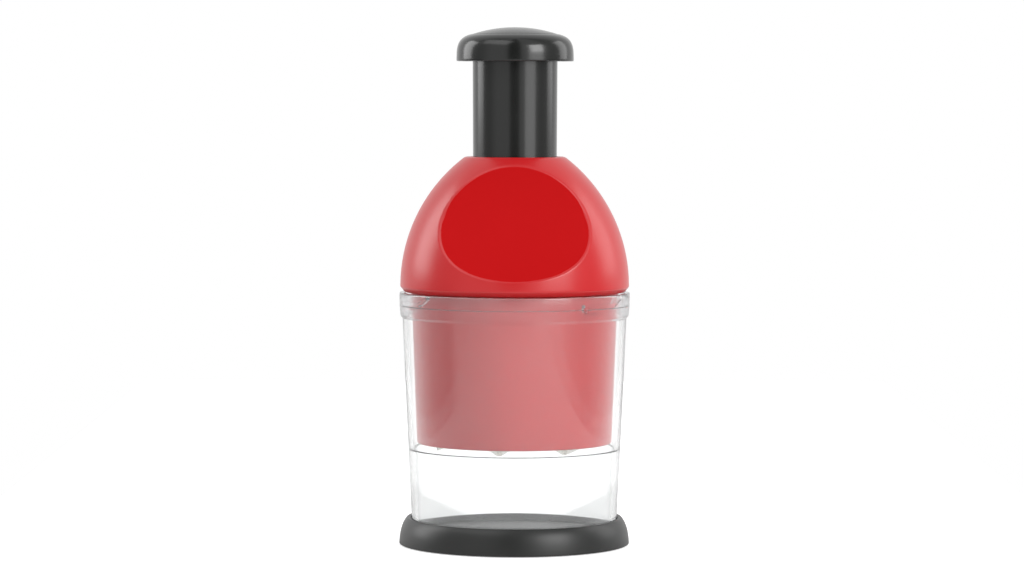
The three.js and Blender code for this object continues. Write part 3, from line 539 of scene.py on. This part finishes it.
def base_cap():
    plate_radius = cup_bore(cup_foot) - cup_ledge_width - fit
    rim_bore = cup_radius(base_rim) + fit
    channel_bore = cup_radius(channel_floor) + fit
    wall_foot = channel_bore + channel_wall
    inner = groove_inner - channel_wall
    under = floor_top - plate_wall
    rim_outer = (rim_bore + rim_width, base_rim)
    foot = (base_reach, base_foot)
    corners = [
        (0, floor_top), (plate_radius, floor_top, 0.7), (plate_radius, channel_floor, 0.4),
        (channel_bore, channel_floor, 0.4), (rim_bore, base_rim, 0.45), (*rim_outer, 0.5),
        *bend(rim_outer, (base_reach - belly_inset, base_rim * belly_share), foot, steps=16),
        (*foot, 0.35), (base_reach - skirt_wall, base_foot, 0.3),
        (wall_foot + pocket_taper, base_rim * pocket_share, 0.4), (wall_foot, base_foot, 0.3),
        (groove_outer, base_foot, 0.2), (groove_outer, groove_top, 0.2), (groove_inner, groove_top, 0.2),
        (groove_inner, base_foot, 0.2), (inner, base_foot, 0.3), (inner, under, 0.4), (0, under),
    ]
    cap = turned_solid("chopping_base", corners, medium_columns)
    length, half = inner + fit, base_rib / 2
    ribs = [block("rib", (-length, -half, under - base_rib_drop), (length, half, under + fit), turn)
            for turn in (0, 60, 120)]
    combined(cap, ribs, "UNION")
    return dressed(cap, "base", [base_black], "base")


def grip_ring():
    bottom, top = low("anti_slip_ring"), high("anti_slip_ring")
    inner, outer = groove_inner + fit, groove_outer - fit
    corners = [(inner, bottom, 0.4), (outer, bottom, 0.4), (outer, top, 0.2), (inner, top, 0.2)]
    ring = lathe("grip_ring", rounded(corners), small_columns)
    return dressed(ring, "base", [rubber], "anti_slip_ring")


# Clear cup: drafted wall, ledge at the cutting edge, stepped collar, three bayonet ribs

# The guard's lugs turn under the ribs; starts, spans and turns are in degrees round the axis
lug_depth = 7.1
lug_height = 1.5
lug_gap = 0.35
lug_span = 12
lug_foot = cup_top - lug_depth
lug_top = lug_foot + lug_height
lug_radius = cup_bore(lug_foot) - lug_gap
rib_reach = 1.05
rib_height = 1.6
rib_foot = lug_top + fit
rib_turns = (0, 120, 240)
rib_span = 29
ramp_start = -141
ramp_span = 7.5
ramp_rise = 3.2
ramp_overlap = 1
stop_span = 2
rib_end = ramp_start - rib_span


def blend(start, end, share):
    return start + (end - start) * share


def bayonet_ribs():
    inner, outer = lug_radius - rib_reach, collar_bore + fit
    ramp_foot = ramp_start - ramp_span
    ribs = []
    for turn in rib_turns:
        ribs.append(bent_bar("ramp", steps=12, place=lambda along, out, up: (
            blend(inner, outer, out), turn + blend(ramp_start, ramp_foot, along),
            rib_foot + ramp_rise * (1 - along) + rib_height * up)))
        ribs.append(bent_bar("flat", steps=24, place=lambda along, out, up: (
            blend(inner, outer, out), turn + blend(ramp_foot + ramp_overlap, rib_end, along),
            rib_foot + rib_height * up)))
        ribs.append(bent_bar("stop", steps=2, place=lambda along, out, up: (
            blend(inner, outer, out), turn + blend(rib_end, rib_end - stop_span, along),
            blend(lug_foot, rib_foot + rib_height, up))))
    return ribs


def clear_cup():
    collar_start = cup_top - collar_height
    wall_line = cup_radius(collar_start)
    collar_out = blend(wall_line, collar_radius, collar_foot_share)
    step = cup_top - collar_step
    swell_top = (collar_radius, collar_start + collar_swell)
    corners = [
        (cup_bore(cup_foot) - cup_ledge_width, cup_foot, 0.4), (cup_radius(cup_foot), cup_foot, 0.4),
        (wall_line, collar_start, 0.12),
        (collar_out, collar_start + collar_foot, 0.25), (*swell_top, 3),
        (collar_radius, cup_top, 0.7), (collar_bore, cup_top, 0.6),
        (collar_bore, step, 0.35), (cup_bore(step), step, 0.35),
        (cup_ledge_bore, cup_ledge, 0.3), (cup_ledge_bore - cup_ledge_width, cup_ledge, 0.45),
    ]
    cup = lathe("clear_cup", rounded(corners), wide_columns)
    combined(cup, bayonet_ribs(), "UNION")
    dressed(cup, "container", [clear, clear_veiled], "container")
    # The collar's outside is blasted
    for face in cup.data.polygons:
        place = face.center / mm
        if place.z > collar_start and place.xy.length > cup_radius(place.z) + fit:
            face.material_index = 1
    return cup


# Housing: guard round the blade, and the dome with its finger hollows

key_radius = 11.9
key_sides = 6
deck_rib = 1.8
deck_rib_drop = 3.2
deck_rib_start = 15.2


def guard_skirt():
    corners = [
        (key_radius, deck_foot), (guard_bore(deck_foot), deck_foot, 1),
        (guard_bore(guard_foot + guard_lip_height), guard_foot + guard_lip_height, 0.3),
        (guard_lip, guard_foot + guard_lip_height, 0.2), (guard_lip, guard_foot, 0.2),
        (guard_radius(guard_foot), guard_foot, 0.8), (guard_radius(guard_top), guard_top, 0.4),
        (guard_bore(deck_top), guard_top, 0.4), (guard_bore(deck_top), deck_top, 0.4),
        (key_radius, deck_top),
    ]

    def key_hole(point, angle):
        """The deck's hole has flat sides for the cam sleeve's key; the rest of the outline is round."""
        radius, height = point[:2]
        if radius > key_radius + fit:
            return radius, height
        side = math.tau / key_sides
        return radius * math.cos(side / 2) / math.cos(angle % side - side / 2), height

    guard = lathe("guard_skirt", rounded(corners), wide_columns, shape=key_hole)
    start = rib_end + math.degrees(fit / lug_radius)
    lugs = [bent_bar("lug", steps=16, place=lambda along, out, up: (
        blend(guard_radius(lug_foot) - guard_wall / 2, lug_radius, out), turn + start + lug_span * along,
        blend(lug_foot, lug_top, up))) for turn in rib_turns]
    inner_foot = (deck_rib_start, -deck_rib / 2, deck_foot - deck_rib_drop)
    outer_head = (guard_bore(deck_foot) + fit, deck_rib / 2, deck_foot + fit)
    ribs = [block("rib", inner_foot, outer_head, turn) for turn in (0, 90, 180, 270)]
    combined(guard, lugs + ribs, "UNION")
    return dressed(guard, "housing", [red_gloss], "blade_guard")


# The dome's arc runs from its widest edge to the rim of its flat top, round a centre level with that edge
dome_rise = dome_top - dome_edge
dome_centre = (dome_radius ** 2 - dome_flat ** 2 - dome_rise ** 2) / (2 * (dome_radius - dome_flat))
dome_start = 0.01
dome_crown = 1.3
ceiling_reach = 1.5
row_crowding = 1.6
search_steps = 40


def dome_side(turn, wall=0):
    """Radius and height of the dome's upright arc, this many radians up from its widest edge."""
    arc_radius = dome_radius - dome_centre - wall
    return dome_centre + arc_radius * math.cos(turn), dome_edge + arc_radius * math.sin(turn)


def dome_end(wall=0):
    """Radians up the arc where the rounding below the flat top begins."""
    return math.asin((dome_rise - wall - dome_crown) / (dome_radius - dome_centre - wall))


def hollow_radius(height, angle, wall=0):
    """Radius at which the level cylinder of the front and back hollows stands at a height and angle."""
    depth = math.sqrt(max((scoop_radius + wall) ** 2 - (height - scoop_height) ** 2, 0))
    return (scoop_axis - depth) / max(abs(math.sin(angle)), tiny)


@functools.cache
def hollow_edges(angle):
    """Radians up the arc where a hollow begins and ends at this angle, alike where there is none."""

    def gap(turn):
        radius, height = dome_side(turn)
        return hollow_radius(height, angle) - radius + scoop_edge

    # Closes in on the point of the arc that lies deepest in the hollow, then on the edge to each side of it
    low_turn, high_turn = dome_start, dome_end()
    for _ in range(search_steps):
        third = (high_turn - low_turn) / 3
        if gap(low_turn + third) < gap(high_turn - third):
            high_turn -= third
        else:
            low_turn += third
    deepest = (low_turn + high_turn) / 2
    if gap(deepest) >= 0:
        return deepest, deepest
    edges = []
    for outer in (dome_start, dome_end()):
        inner = deepest
        for _ in range(search_steps):
            halfway = (inner + outer) / 2
            if gap(halfway) < 0:
                inner = halfway
            else:
                outer = halfway
        edges.append(inner)
    return tuple(edges)


def scooped(point, angle):
    """Place of the dome's point at an angle: the wall is hollowed, the outer rows follow the hollows' edge.

    A point is (radius, height), with (wall) on the dome's arc and (wall, zone, share) on its outside.
    """
    radius, height = point[:2]
    if len(point) < 3:
        return radius, height
    if len(point) > 3:
        zone, share = point[3:]
        limits = (dome_start, *hollow_edges(angle), dome_end())
        radius, height = dome_side(blend(limits[zone], limits[zone + 1], share))
    hollow = hollow_radius(height, angle, point[2])
    share = min(max(0.5 + (hollow - radius) / (2 * scoop_edge), 0), 1)
    return blend(hollow, radius, share) - scoop_edge * share * (1 - share), height


def dome_rows():
    """Rows of the dome's outside: below a hollow, in it and above it, closer together towards its edge."""
    below, within, above = 24, 90, 24
    rows = [(0, 1 - (1 - step / below) ** row_crowding) for step in range(below)]
    rows += [(1, step / within) for step in range(within)]
    rows += [(2, (step / above) ** row_crowding) for step in range(above + 1)]
    start, end = dome_side(dome_start), dome_side(dome_end())
    return [(*(end if row == rows[-1] else start), 0, *row) for row in rows]


def red_dome():
    ceiling = dome_top - dome_wall
    ceiling_edge = dome_flat - dome_wall + ceiling_reach
    flange_top = dome_foot + dome_flange
    outside = dome_rows()
    steps = 36
    turns = [dome_end(dome_wall) * step / steps for step in range(steps + 1)]
    inside = [(*dome_side(turn, dome_wall), dome_wall) for turn in turns]
    top = rounded([
        outside[-1][:2], (dome_flat, dome_top, 1.6), (guide_bore, dome_top, 0.5),
        (guide_bore, guide_foot, 0.3), (guide_bore + guide_wall, guide_foot, 0.3),
        (guide_bore + guide_wall, ceiling, 0.5), (ceiling_edge, ceiling),
    ], closed=False)
    bottom = rounded([
        inside[0][:2], (inside[0][0], flange_top), (spigot_bore, flange_top, 0.4),
        (spigot_bore, spigot_foot, 0.3), (spigot_radius, spigot_foot, 0.3),
        (spigot_radius, dome_foot, 0.2), (dome_seat, dome_foot, 0.35),
        (dome_radius, dome_edge, 0.5), outside[0][:2],
    ], closed=False)
    outline = outside + top[1:] + inside[::-1] + bottom[1:-1]
    dome = lathe("red_dome", outline, dome_columns, shape=scooped)
    dressed(dome, "housing", [red_gloss, red_matt_shaded], "housing_dome", sharp=40)
    near = 0.02

    def in_hollow(corner):
        place = dome.data.vertices[corner].co / mm
        off_axis = math.hypot(abs(place.y) - scoop_axis, place.z - scoop_height)
        return abs(off_axis - scoop_radius) < near

    # The hollows are spark-eroded, and their darker red is painted shade
    for face in dome.data.polygons:
        if all(in_hollow(corner) for corner in face.vertices):
            face.material_index = 1
    return dome


# Plunger: stem, knob and cap

def black_stem():
    plate_foot = stem_plate_top - stem_plate
    corners = [
        (stem_bore, stem_foot, 0.3), (stem_flange_radius, stem_foot, 0.4),
        (stem_flange_radius, stem_foot + stem_flange, 0.4), (stem_radius, stem_foot + stem_flange, 0.3),
        (stem_radius, dome_top), (stem_radius + stem_swell, knob_foot),
        (stem_radius + stem_swell, stem_top, 0.3), (stem_bore, stem_top, 0.3),
        (stem_bore, stem_plate_top, 0.4), (shaft_hole, stem_plate_top, 0.2),
        (shaft_hole, plate_foot, 0.2), (stem_bore, plate_foot, 0.4),
    ]
    stem = lathe("black_stem", rounded(corners), medium_columns)
    return dressed(stem, "plunger", [handle_black], "plunger_stem")


socket_wall = 2
knob_wall = 2.4
knob_ceiling = 2.5
crown_start = 0.5
crown_shoulder = 1.5


def black_knob():
    socket = stem_radius + stem_swell + fit
    socket_outer = socket + socket_wall
    hollow = knob_radius - knob_wall
    cap_bore = cap_radius + fit
    recess = cap_foot - fit
    under = recess - knob_ceiling
    side = knob_edge - knob_foot
    pulls = [Vector((knob_radius, knob_foot + crown_start)), Vector((knob_radius, knob_foot + side / 2)),
             Vector((knob_radius, knob_edge - crown_shoulder)), Vector((cap_bore, knob_edge))]
    steps = 24
    crown = []
    for step in range(1, steps):
        points = pulls
        while len(points) > 1:
            points = [a.lerp(b, step / steps) for a, b in zip(points, points[1:])]
        crown.append(tuple(points[0]))
    corners = [
        (0, under), (socket, under, 0.3), (socket, knob_foot, 0.3), (socket_outer, knob_foot, 0.3),
        (socket_outer, under, 0.4), (hollow, under, 0.8), (hollow, knob_foot, 0.3),
        (knob_radius, knob_foot, 0.5), *crown, (cap_bore, knob_edge, 0.35), (cap_bore, recess, 0.2),
        (0, recess),
    ]
    knob = turned_solid("black_knob", corners, medium_columns)
    return dressed(knob, "plunger", [handle_black], "plunger_knob")


def domed_cap():
    bulge = cap_top - knob_edge
    sphere = (cap_radius ** 2 + bulge ** 2) / (2 * bulge)
    half = math.asin(cap_radius / sphere)
    steps = 20
    turns = [half * step / steps for step in range(steps)]
    crown = [(sphere * math.sin(turn), cap_top - sphere + sphere * math.cos(turn)) for turn in turns]
    corners = [(0, cap_foot), (cap_radius, cap_foot, 0.3), (cap_radius, knob_edge, 0.3), *crown[::-1]]
    cap = turned_solid("domed_cap", corners, small_columns)
    return dressed(cap, "plunger", [handle_black], "knob_cap")


# Blade: one strip folded to and fro between the folds' circles

def strip_path():
    """Middle line of the strip: it meets each fold on the side it comes from and leaves on the other."""
    radius = fold_bore + blade_thickness / 2
    circle = blade_circle - blade_thickness / 2 - radius
    centres = []
    for i in range(fold_count):
        x = fold_shift + (i - (fold_count - 1) / 2) * fold_pitch
        centres.append(complex(x, math.sqrt(circle ** 2 - x ** 2) * (1 if i % 2 else -1)))
    # A run has its start, its end, the direction from the centre of its last fold to its end, and its side
    runs = []
    for i, (start, end) in enumerate(zip(centres, centres[1:])):
        side = -1 if i % 2 else 1
        direction = cmath.phase(end - start) + side * math.asin(2 * radius / abs(end - start))
        across = direction + side * math.pi / 2
        offset = cmath.rect(radius, across)
        runs.append((start - offset, end + offset, across, side))
    points = [runs[0][0]]
    for centre, run, following in zip(centres[1:], runs, runs[1:]):
        open_angle = abs(cmath.phase((run[0] - run[1]) / (following[1] - following[0])))
        sweep = -run[3] * (math.pi - open_angle)
        points += [centre + cmath.rect(radius, run[2] + sweep * step / fold_steps)
                   for step in range(fold_steps + 1)]
    return points + [runs[-1][1]]


def strip(name, levels, past=0):
    """The strip on edge, longer by past at both ends; levels give a height and half a thickness."""
    path = strip_path()
    for end, before in ((0, 1), (-1, -2)):
        along = path[end] - path[before]
        path[end] += along / abs(along) * past
    sections = []
    for i, point in enumerate(path):
        along = path[min(i + 1, len(path) - 1)] - path[max(i - 1, 0)]
        left = along / abs(along) * 1j
        sides = [(point + left * half, height) for height, half in levels]
        sides += [(point - left * half, height) for height, half in reversed(levels)]
        sections.append([(place.real, place.imag, height) for place, height in sides])
    return swept(name, sections)


def zigzag_strip():
    half = blade_thickness / 2
    made = strip("zigzag_strip", [
        (blade_foot, blade_edge / 2), (blade_foot + blade_bevel, half), (blade_head, half)])
    return dressed(made, "blade", [steel], "zigzag_blade", sharp=20)


def slotted_wiper():
    corners = [
        (0, wiper_foot), (wiper_radius, wiper_foot, 0.3), (wiper_radius, wiper_head, 0.3), (0, wiper_head)]
    disc = turned_solid("slotted_wiper", corners, medium_columns)
    half = blade_thickness / 2 + slot_gap
    levels = [(wiper_foot - overrun, half), (wiper_head + overrun, half)]
    combined(disc, [strip("slot", levels, slot_gap)], "DIFFERENCE")
    return dressed(disc, "wiper", [white], "wiper_disc")


# Spring and screws

def coiled_spring():
    """One wire wound round, its end turns drawn together."""
    wire, coils, closed_gap = 1.8, 12, 0.6
    radius = spring_reach - wire / 2
    closed_pitch = wire + closed_gap
    open_pitch = (spring_head - spring_foot - wire - 2 * closed_pitch) / (coils - 2)
    steps, sides = 36, 12
    sections = []
    for i in range(coils * steps + 1):
        turns = i / steps
        closed_turns = min(turns, 1) + max(turns - coils + 1, 0)
        height = spring_foot + wire / 2 + closed_turns * closed_pitch + (turns - closed_turns) * open_pitch
        outward = Vector((math.cos(turns * math.tau), math.sin(turns * math.tau), 0))
        centre = outward * radius + Vector((0, 0, height))
        section = []
        for side in range(sides):
            angle = math.tau * side / sides
            upward = Vector((0, 0, math.sin(angle) * wire / 2))
            section.append(centre + outward * (math.cos(angle) * wire / 2) + upward)
        sections.append(section)
    spring = swept("coiled_spring", sections)
    dressed(spring, "housing", [wire_steel], "return_spring")
    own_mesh(spring)
    return spring


head_radius = 2.7
head_height = 2
head_flat = 1.6
head_side = 1.2
shank_radius = 0.95
screw_tip = 1.6
cross_reach = 1.4
cross_half = 0.3
cross_depth = 1
thread_radius = 1.2
thread_sunk = 0.1
thread_root = shank_radius - thread_sunk
thread_half = 0.3
thread_pitch = 1.1
thread_start = 0.6
thread_ends = 2.2


def self_tapping_screw(node, body, head_up):
    """Domed head with a cross recess and a coarse thread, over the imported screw."""
    lowest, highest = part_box(node)
    middle = (lowest + highest) / 2 / mm
    way = -1 if head_up else 1
    seat = (highest.z / mm if head_up else lowest.z / mm) + way * head_height
    length = (highest.z - lowest.z) / mm - head_height

    def turned(radius, along):
        return radius, seat + way * along

    corners = [
        turned(0, -head_height), (*turned(head_flat, -head_height), 0.3),
        (*turned(head_radius, -head_side), 0.8), (*turned(head_radius, 0), 0.2),
        (*turned(shank_radius, 0), 0.2), turned(shank_radius, length - screw_tip), turned(0, length),
    ]
    screw = turned_solid(node + "_full", corners, screw_columns)
    outer = (-cross_reach, -cross_half, seat - way * (head_height + overrun / 2))
    floor = (cross_reach, cross_half, seat - way * cross_depth)
    combined(screw, [block("cross", outer, floor, turn) for turn in (0, 90)], "DIFFERENCE")
    steps = 16
    turns = (length - thread_ends) / thread_pitch
    sections = []
    for i in range(int(turns * steps) + 1):
        angle = math.tau * i / steps
        along = thread_start + thread_pitch * i / steps
        outward = Vector((math.cos(angle), math.sin(angle), 0))
        ridge_corners = ((thread_root, -thread_half), (thread_radius, 0), (thread_root, thread_half))
        sections.append([outward * radius + Vector((0, 0, seat + way * (along + up)))
                         for radius, up in ridge_corners])
    ridge = swept("ridge", sections)
    edit = bmesh.new()
    edit.from_mesh(screw.data)
    edit.from_mesh(ridge.data)
    bmesh.ops.translate(edit, verts=edit.verts, vec=Vector((middle.x, middle.y, 0)) * mm)
    edit.to_mesh(screw.data)
    edit.free()
    bpy.data.objects.remove(ridge)
    return dressed(screw, body, [zinc], node)


base_cap()
grip_ring()
clear_cup()
guard_skirt()
red_dome()
black_stem()
black_knob()
domed_cap()
zigzag_strip()
slotted_wiper()
coiled_spring()
for number in (1, 2, 3, 4):
    self_tapping_screw(f"housing_screw_{number}", "housing", head_up=False)
for number in (1, 2):
    self_tapping_screw(f"knob_screw_{number}", "plunger", head_up=True)

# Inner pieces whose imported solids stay
kept_finishes = {
    "cam_sleeve": white, "shaft_bush": white, "thrust_washer": white, "blade_hub": white,
    "blade_shaft": steel, "index_pin": steel, "hub_pin": steel, "shaft_clip": wire_steel,
}
for kept, finish in kept_finishes.items():
    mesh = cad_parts[kept].data
    mesh.materials.clear()
    mesh.materials.append(finish)


# Floor, world, lamps, camera

inner_bounce_level = 0.6
floor_lift = 0.55
fill_level = 0.57


def seen_directly(tree):
    """1 where the eye looks, also straight through the cup, and 0 for light that lands on a piece.

    What bounced once inside a clear wall comes from the dimmer sides of the room.
    """
    path = add(tree, "ShaderNodeLightPath")
    seen = add(tree, "ShaderNodeMath", {
        0: path.outputs["Is Camera Ray"], 1: path.outputs["Is Transmission Ray"]}, operation="MAXIMUM")
    unscattered = add(tree, "ShaderNodeMath", {
        0: path.outputs["Diffuse Depth"], 1: 0.5}, operation="LESS_THAN")
    bounces = add(tree, "ShaderNodeMapRange", {
        "Value": path.outputs["Glossy Depth"], "To Min": 1, "To Max": inner_bounce_level})
    level = add(tree, "ShaderNodeMath", {
        0: unscattered.outputs[0], 1: bounces.outputs["Result"]}, operation="MULTIPLY")
    both = add(tree, "ShaderNodeMath", {0: seen.outputs[0], 1: level.outputs[0]}, operation="MULTIPLY")
    return both.outputs[0]


def pale_floor():
    """White table top: matt, lifted to white where the camera sees it, so that only close shadows stay."""
    across, deep, speck = 260, 900, 4
    corners = [(-across, -deep, 0), (across, -deep, 0), (across, deep, 0), (-across, deep, 0)]
    floor = shell("table_top", corners, [[0, 1, 2, 3]])
    material, tree = blank("white_laminate")
    place = add(tree, "ShaderNodeTexCoord").outputs["Object"]
    specks = add(tree, "ShaderNodeTexNoise", {"Vector": place, "Scale": per_metre(speck)})
    colour = add(tree, "ShaderNodeMix", {
        0: specks.outputs["Fac"], 6: linear("#f3f3f3"), 7: linear("#f0f0f0")}, data_type="RGBA")
    matt = add(tree, "ShaderNodeBsdfDiffuse", {"Color": colour.outputs[2]})
    lift = add(tree, "ShaderNodeMath", {0: seen_directly(tree), 1: floor_lift}, operation="MULTIPLY")
    glow = add(tree, "ShaderNodeEmission", {"Strength": lift.outputs[0]})
    both = add(tree, "ShaderNodeAddShader", {0: matt.outputs[0], 1: glow.outputs[0]})
    add(tree, "ShaderNodeOutputMaterial", {"Surface": both.outputs[0]})
    floor.data.materials.append(material)


def ring(tree, share, levels):
    """Grey levels at degrees round the object, read at a share of the whole turn."""
    ramp = add(tree, "ShaderNodeValToRGB", {"Fac": share})
    stops = ramp.color_ramp.elements
    while len(stops) < len(levels):
        stops.new(0.5)
    for stop, (degrees, level) in zip(stops, levels):
        stop.position = degrees / 360 + 0.5
        stop.color = (level, level, level, 1)
    return ramp.outputs["Color"]


def studio_world():
    """White to the eye; reflections see rings of bright and dark; a plain level lights the object."""
    world = bpy.data.worlds.new("studio")
    bpy.context.scene.world = world
    world.use_nodes = True
    world.cycles.sampling_method = "NONE"
    tree = world.node_tree
    tree.nodes.clear()
    sky = add(tree, "ShaderNodeTexCoord").outputs["Generated"]
    towards = add(tree, "ShaderNodeSeparateXYZ", {0: sky})
    depth = add(tree, "ShaderNodeMath", {0: towards.outputs["Y"], 1: -1}, operation="MULTIPLY")
    azimuth = add(tree, "ShaderNodeMath", {
        0: towards.outputs["X"], 1: depth.outputs[0]}, operation="ARCTAN2")
    share = add(tree, "ShaderNodeMapRange", {
        "Value": azimuth.outputs[0], "From Min": -math.pi, "From Max": math.pi})
    # Degrees from the front, positive to the right, and the level that a reflection sees there
    above = ring(tree, share.outputs["Result"], [
        (-180, 0.95), (-118, 0.9), (-95, 0.45), (-72, 0.45), (-50, 0.8), (-17, 0.8), (-11, 0.02), (9, 0.02),
        (14, 0.85), (52, 0.85), (74, 0.45), (98, 0.45), (120, 0.9), (180, 0.95)])
    below = ring(tree, share.outputs["Result"], [
        (-180, 0.95), (-118, 0.9), (-98, 0.3), (-72, 0.1), (-62, 0.8), (50, 0.8), (66, 0.25), (84, 0.1),
        (100, 0.4), (120, 0.9), (180, 0.95)])
    # Reflections that look down see the lower ring, the others the upper one
    ring_edge = (-0.11, -0.06)
    upward = add(tree, "ShaderNodeMapRange", {
        "Value": towards.outputs["Z"], "From Min": ring_edge[0], "From Max": ring_edge[1]})
    rings = add(tree, "ShaderNodeMix", {0: upward.outputs["Result"], 6: below, 7: above}, data_type="RGBA")
    path = add(tree, "ShaderNodeLightPath")
    fill = add(tree, "ShaderNodeBackground", {"Color": linear("#ffffff"), "Strength": fill_level})
    mirrored = add(tree, "ShaderNodeBackground", {"Color": rings.outputs[2], "Strength": 1})
    open_white = add(tree, "ShaderNodeBackground", {"Color": linear("#ffffff"), "Strength": 1})
    lit = add(tree, "ShaderNodeMixShader", {
        0: path.outputs["Is Glossy Ray"], 1: fill.outputs[0], 2: mirrored.outputs[0]})
    whole = add(tree, "ShaderNodeMixShader", {
        0: seen_directly(tree), 1: lit.outputs[0], 2: open_white.outputs[0]})
    add(tree, "ShaderNodeOutputWorld", {"Surface": whole.outputs[0]})


lamp_aim = Vector((0, 0, 120)) * mm
lamp_distance = 1.2


def softbox(name, azimuth, elevation, width, height, level):
    """A lamp as the object sees it: its direction, width and height in degrees, and its brightness."""
    across, up = math.radians(azimuth), math.radians(elevation)
    towards = Vector((math.sin(across) * math.cos(up), -math.cos(across) * math.cos(up), math.sin(up)))
    lamp = bpy.data.lights.new(name, "AREA")
    lamp.shape = "RECTANGLE"
    lamp.size = 2 * lamp_distance * math.tan(math.radians(width / 2))
    lamp.size_y = 2 * lamp_distance * math.tan(math.radians(height / 2))
    lamp.energy = level * math.pi * lamp.size * lamp.size_y
    holder = bpy.data.objects.new(name, lamp)
    bpy.context.scene.collection.objects.link(holder)
    holder.location = lamp_aim + towards * lamp_distance
    holder.rotation_euler = towards.to_track_quat("Z", "Y").to_euler()
    holder.visible_camera = False
    holder.visible_transmission = False


camera_shift = -1.2
camera_distance = 1635
camera_height = 209.3
camera_aim = 116.8
camera_roll = 0.12


def photo_camera():
    """Level with the upper stem, far off, with a long lens, looking a little down."""
    data = bpy.data.cameras.new("photo_camera")
    data.lens = 126.5
    data.sensor_width = 36
    data.clip_end = 100
    camera = bpy.data.objects.new("photo_camera", data)
    bpy.context.scene.collection.objects.link(camera)
    camera.location = Vector((camera_shift, -camera_distance, camera_height)) * mm
    aim = Vector((camera_shift, 0, camera_aim)) * mm
    camera.rotation_euler = (aim - camera.location).to_track_quat("-Z", "Y").to_euler()
    camera.rotation_euler.rotate_axis("Z", math.radians(camera_roll))
    bpy.context.scene.camera = camera


pale_floor()
studio_world()
softbox("left_rear_box", azimuth=-108, elevation=22, width=26, height=38, level=3.4)
softbox("right_rear_box", azimuth=110, elevation=22, width=24, height=38, level=2)
softbox("left_front_box", azimuth=-48, elevation=54, width=44, height=28, level=1.3)
softbox("front_right_box", azimuth=44, elevation=25, width=26, height=24, level=6.6)
softbox("front_right_band", azimuth=42, elevation=6, width=30, height=20, level=2)
photo_camera()

bpy.context.scene.view_settings.view_transform = "Standard"
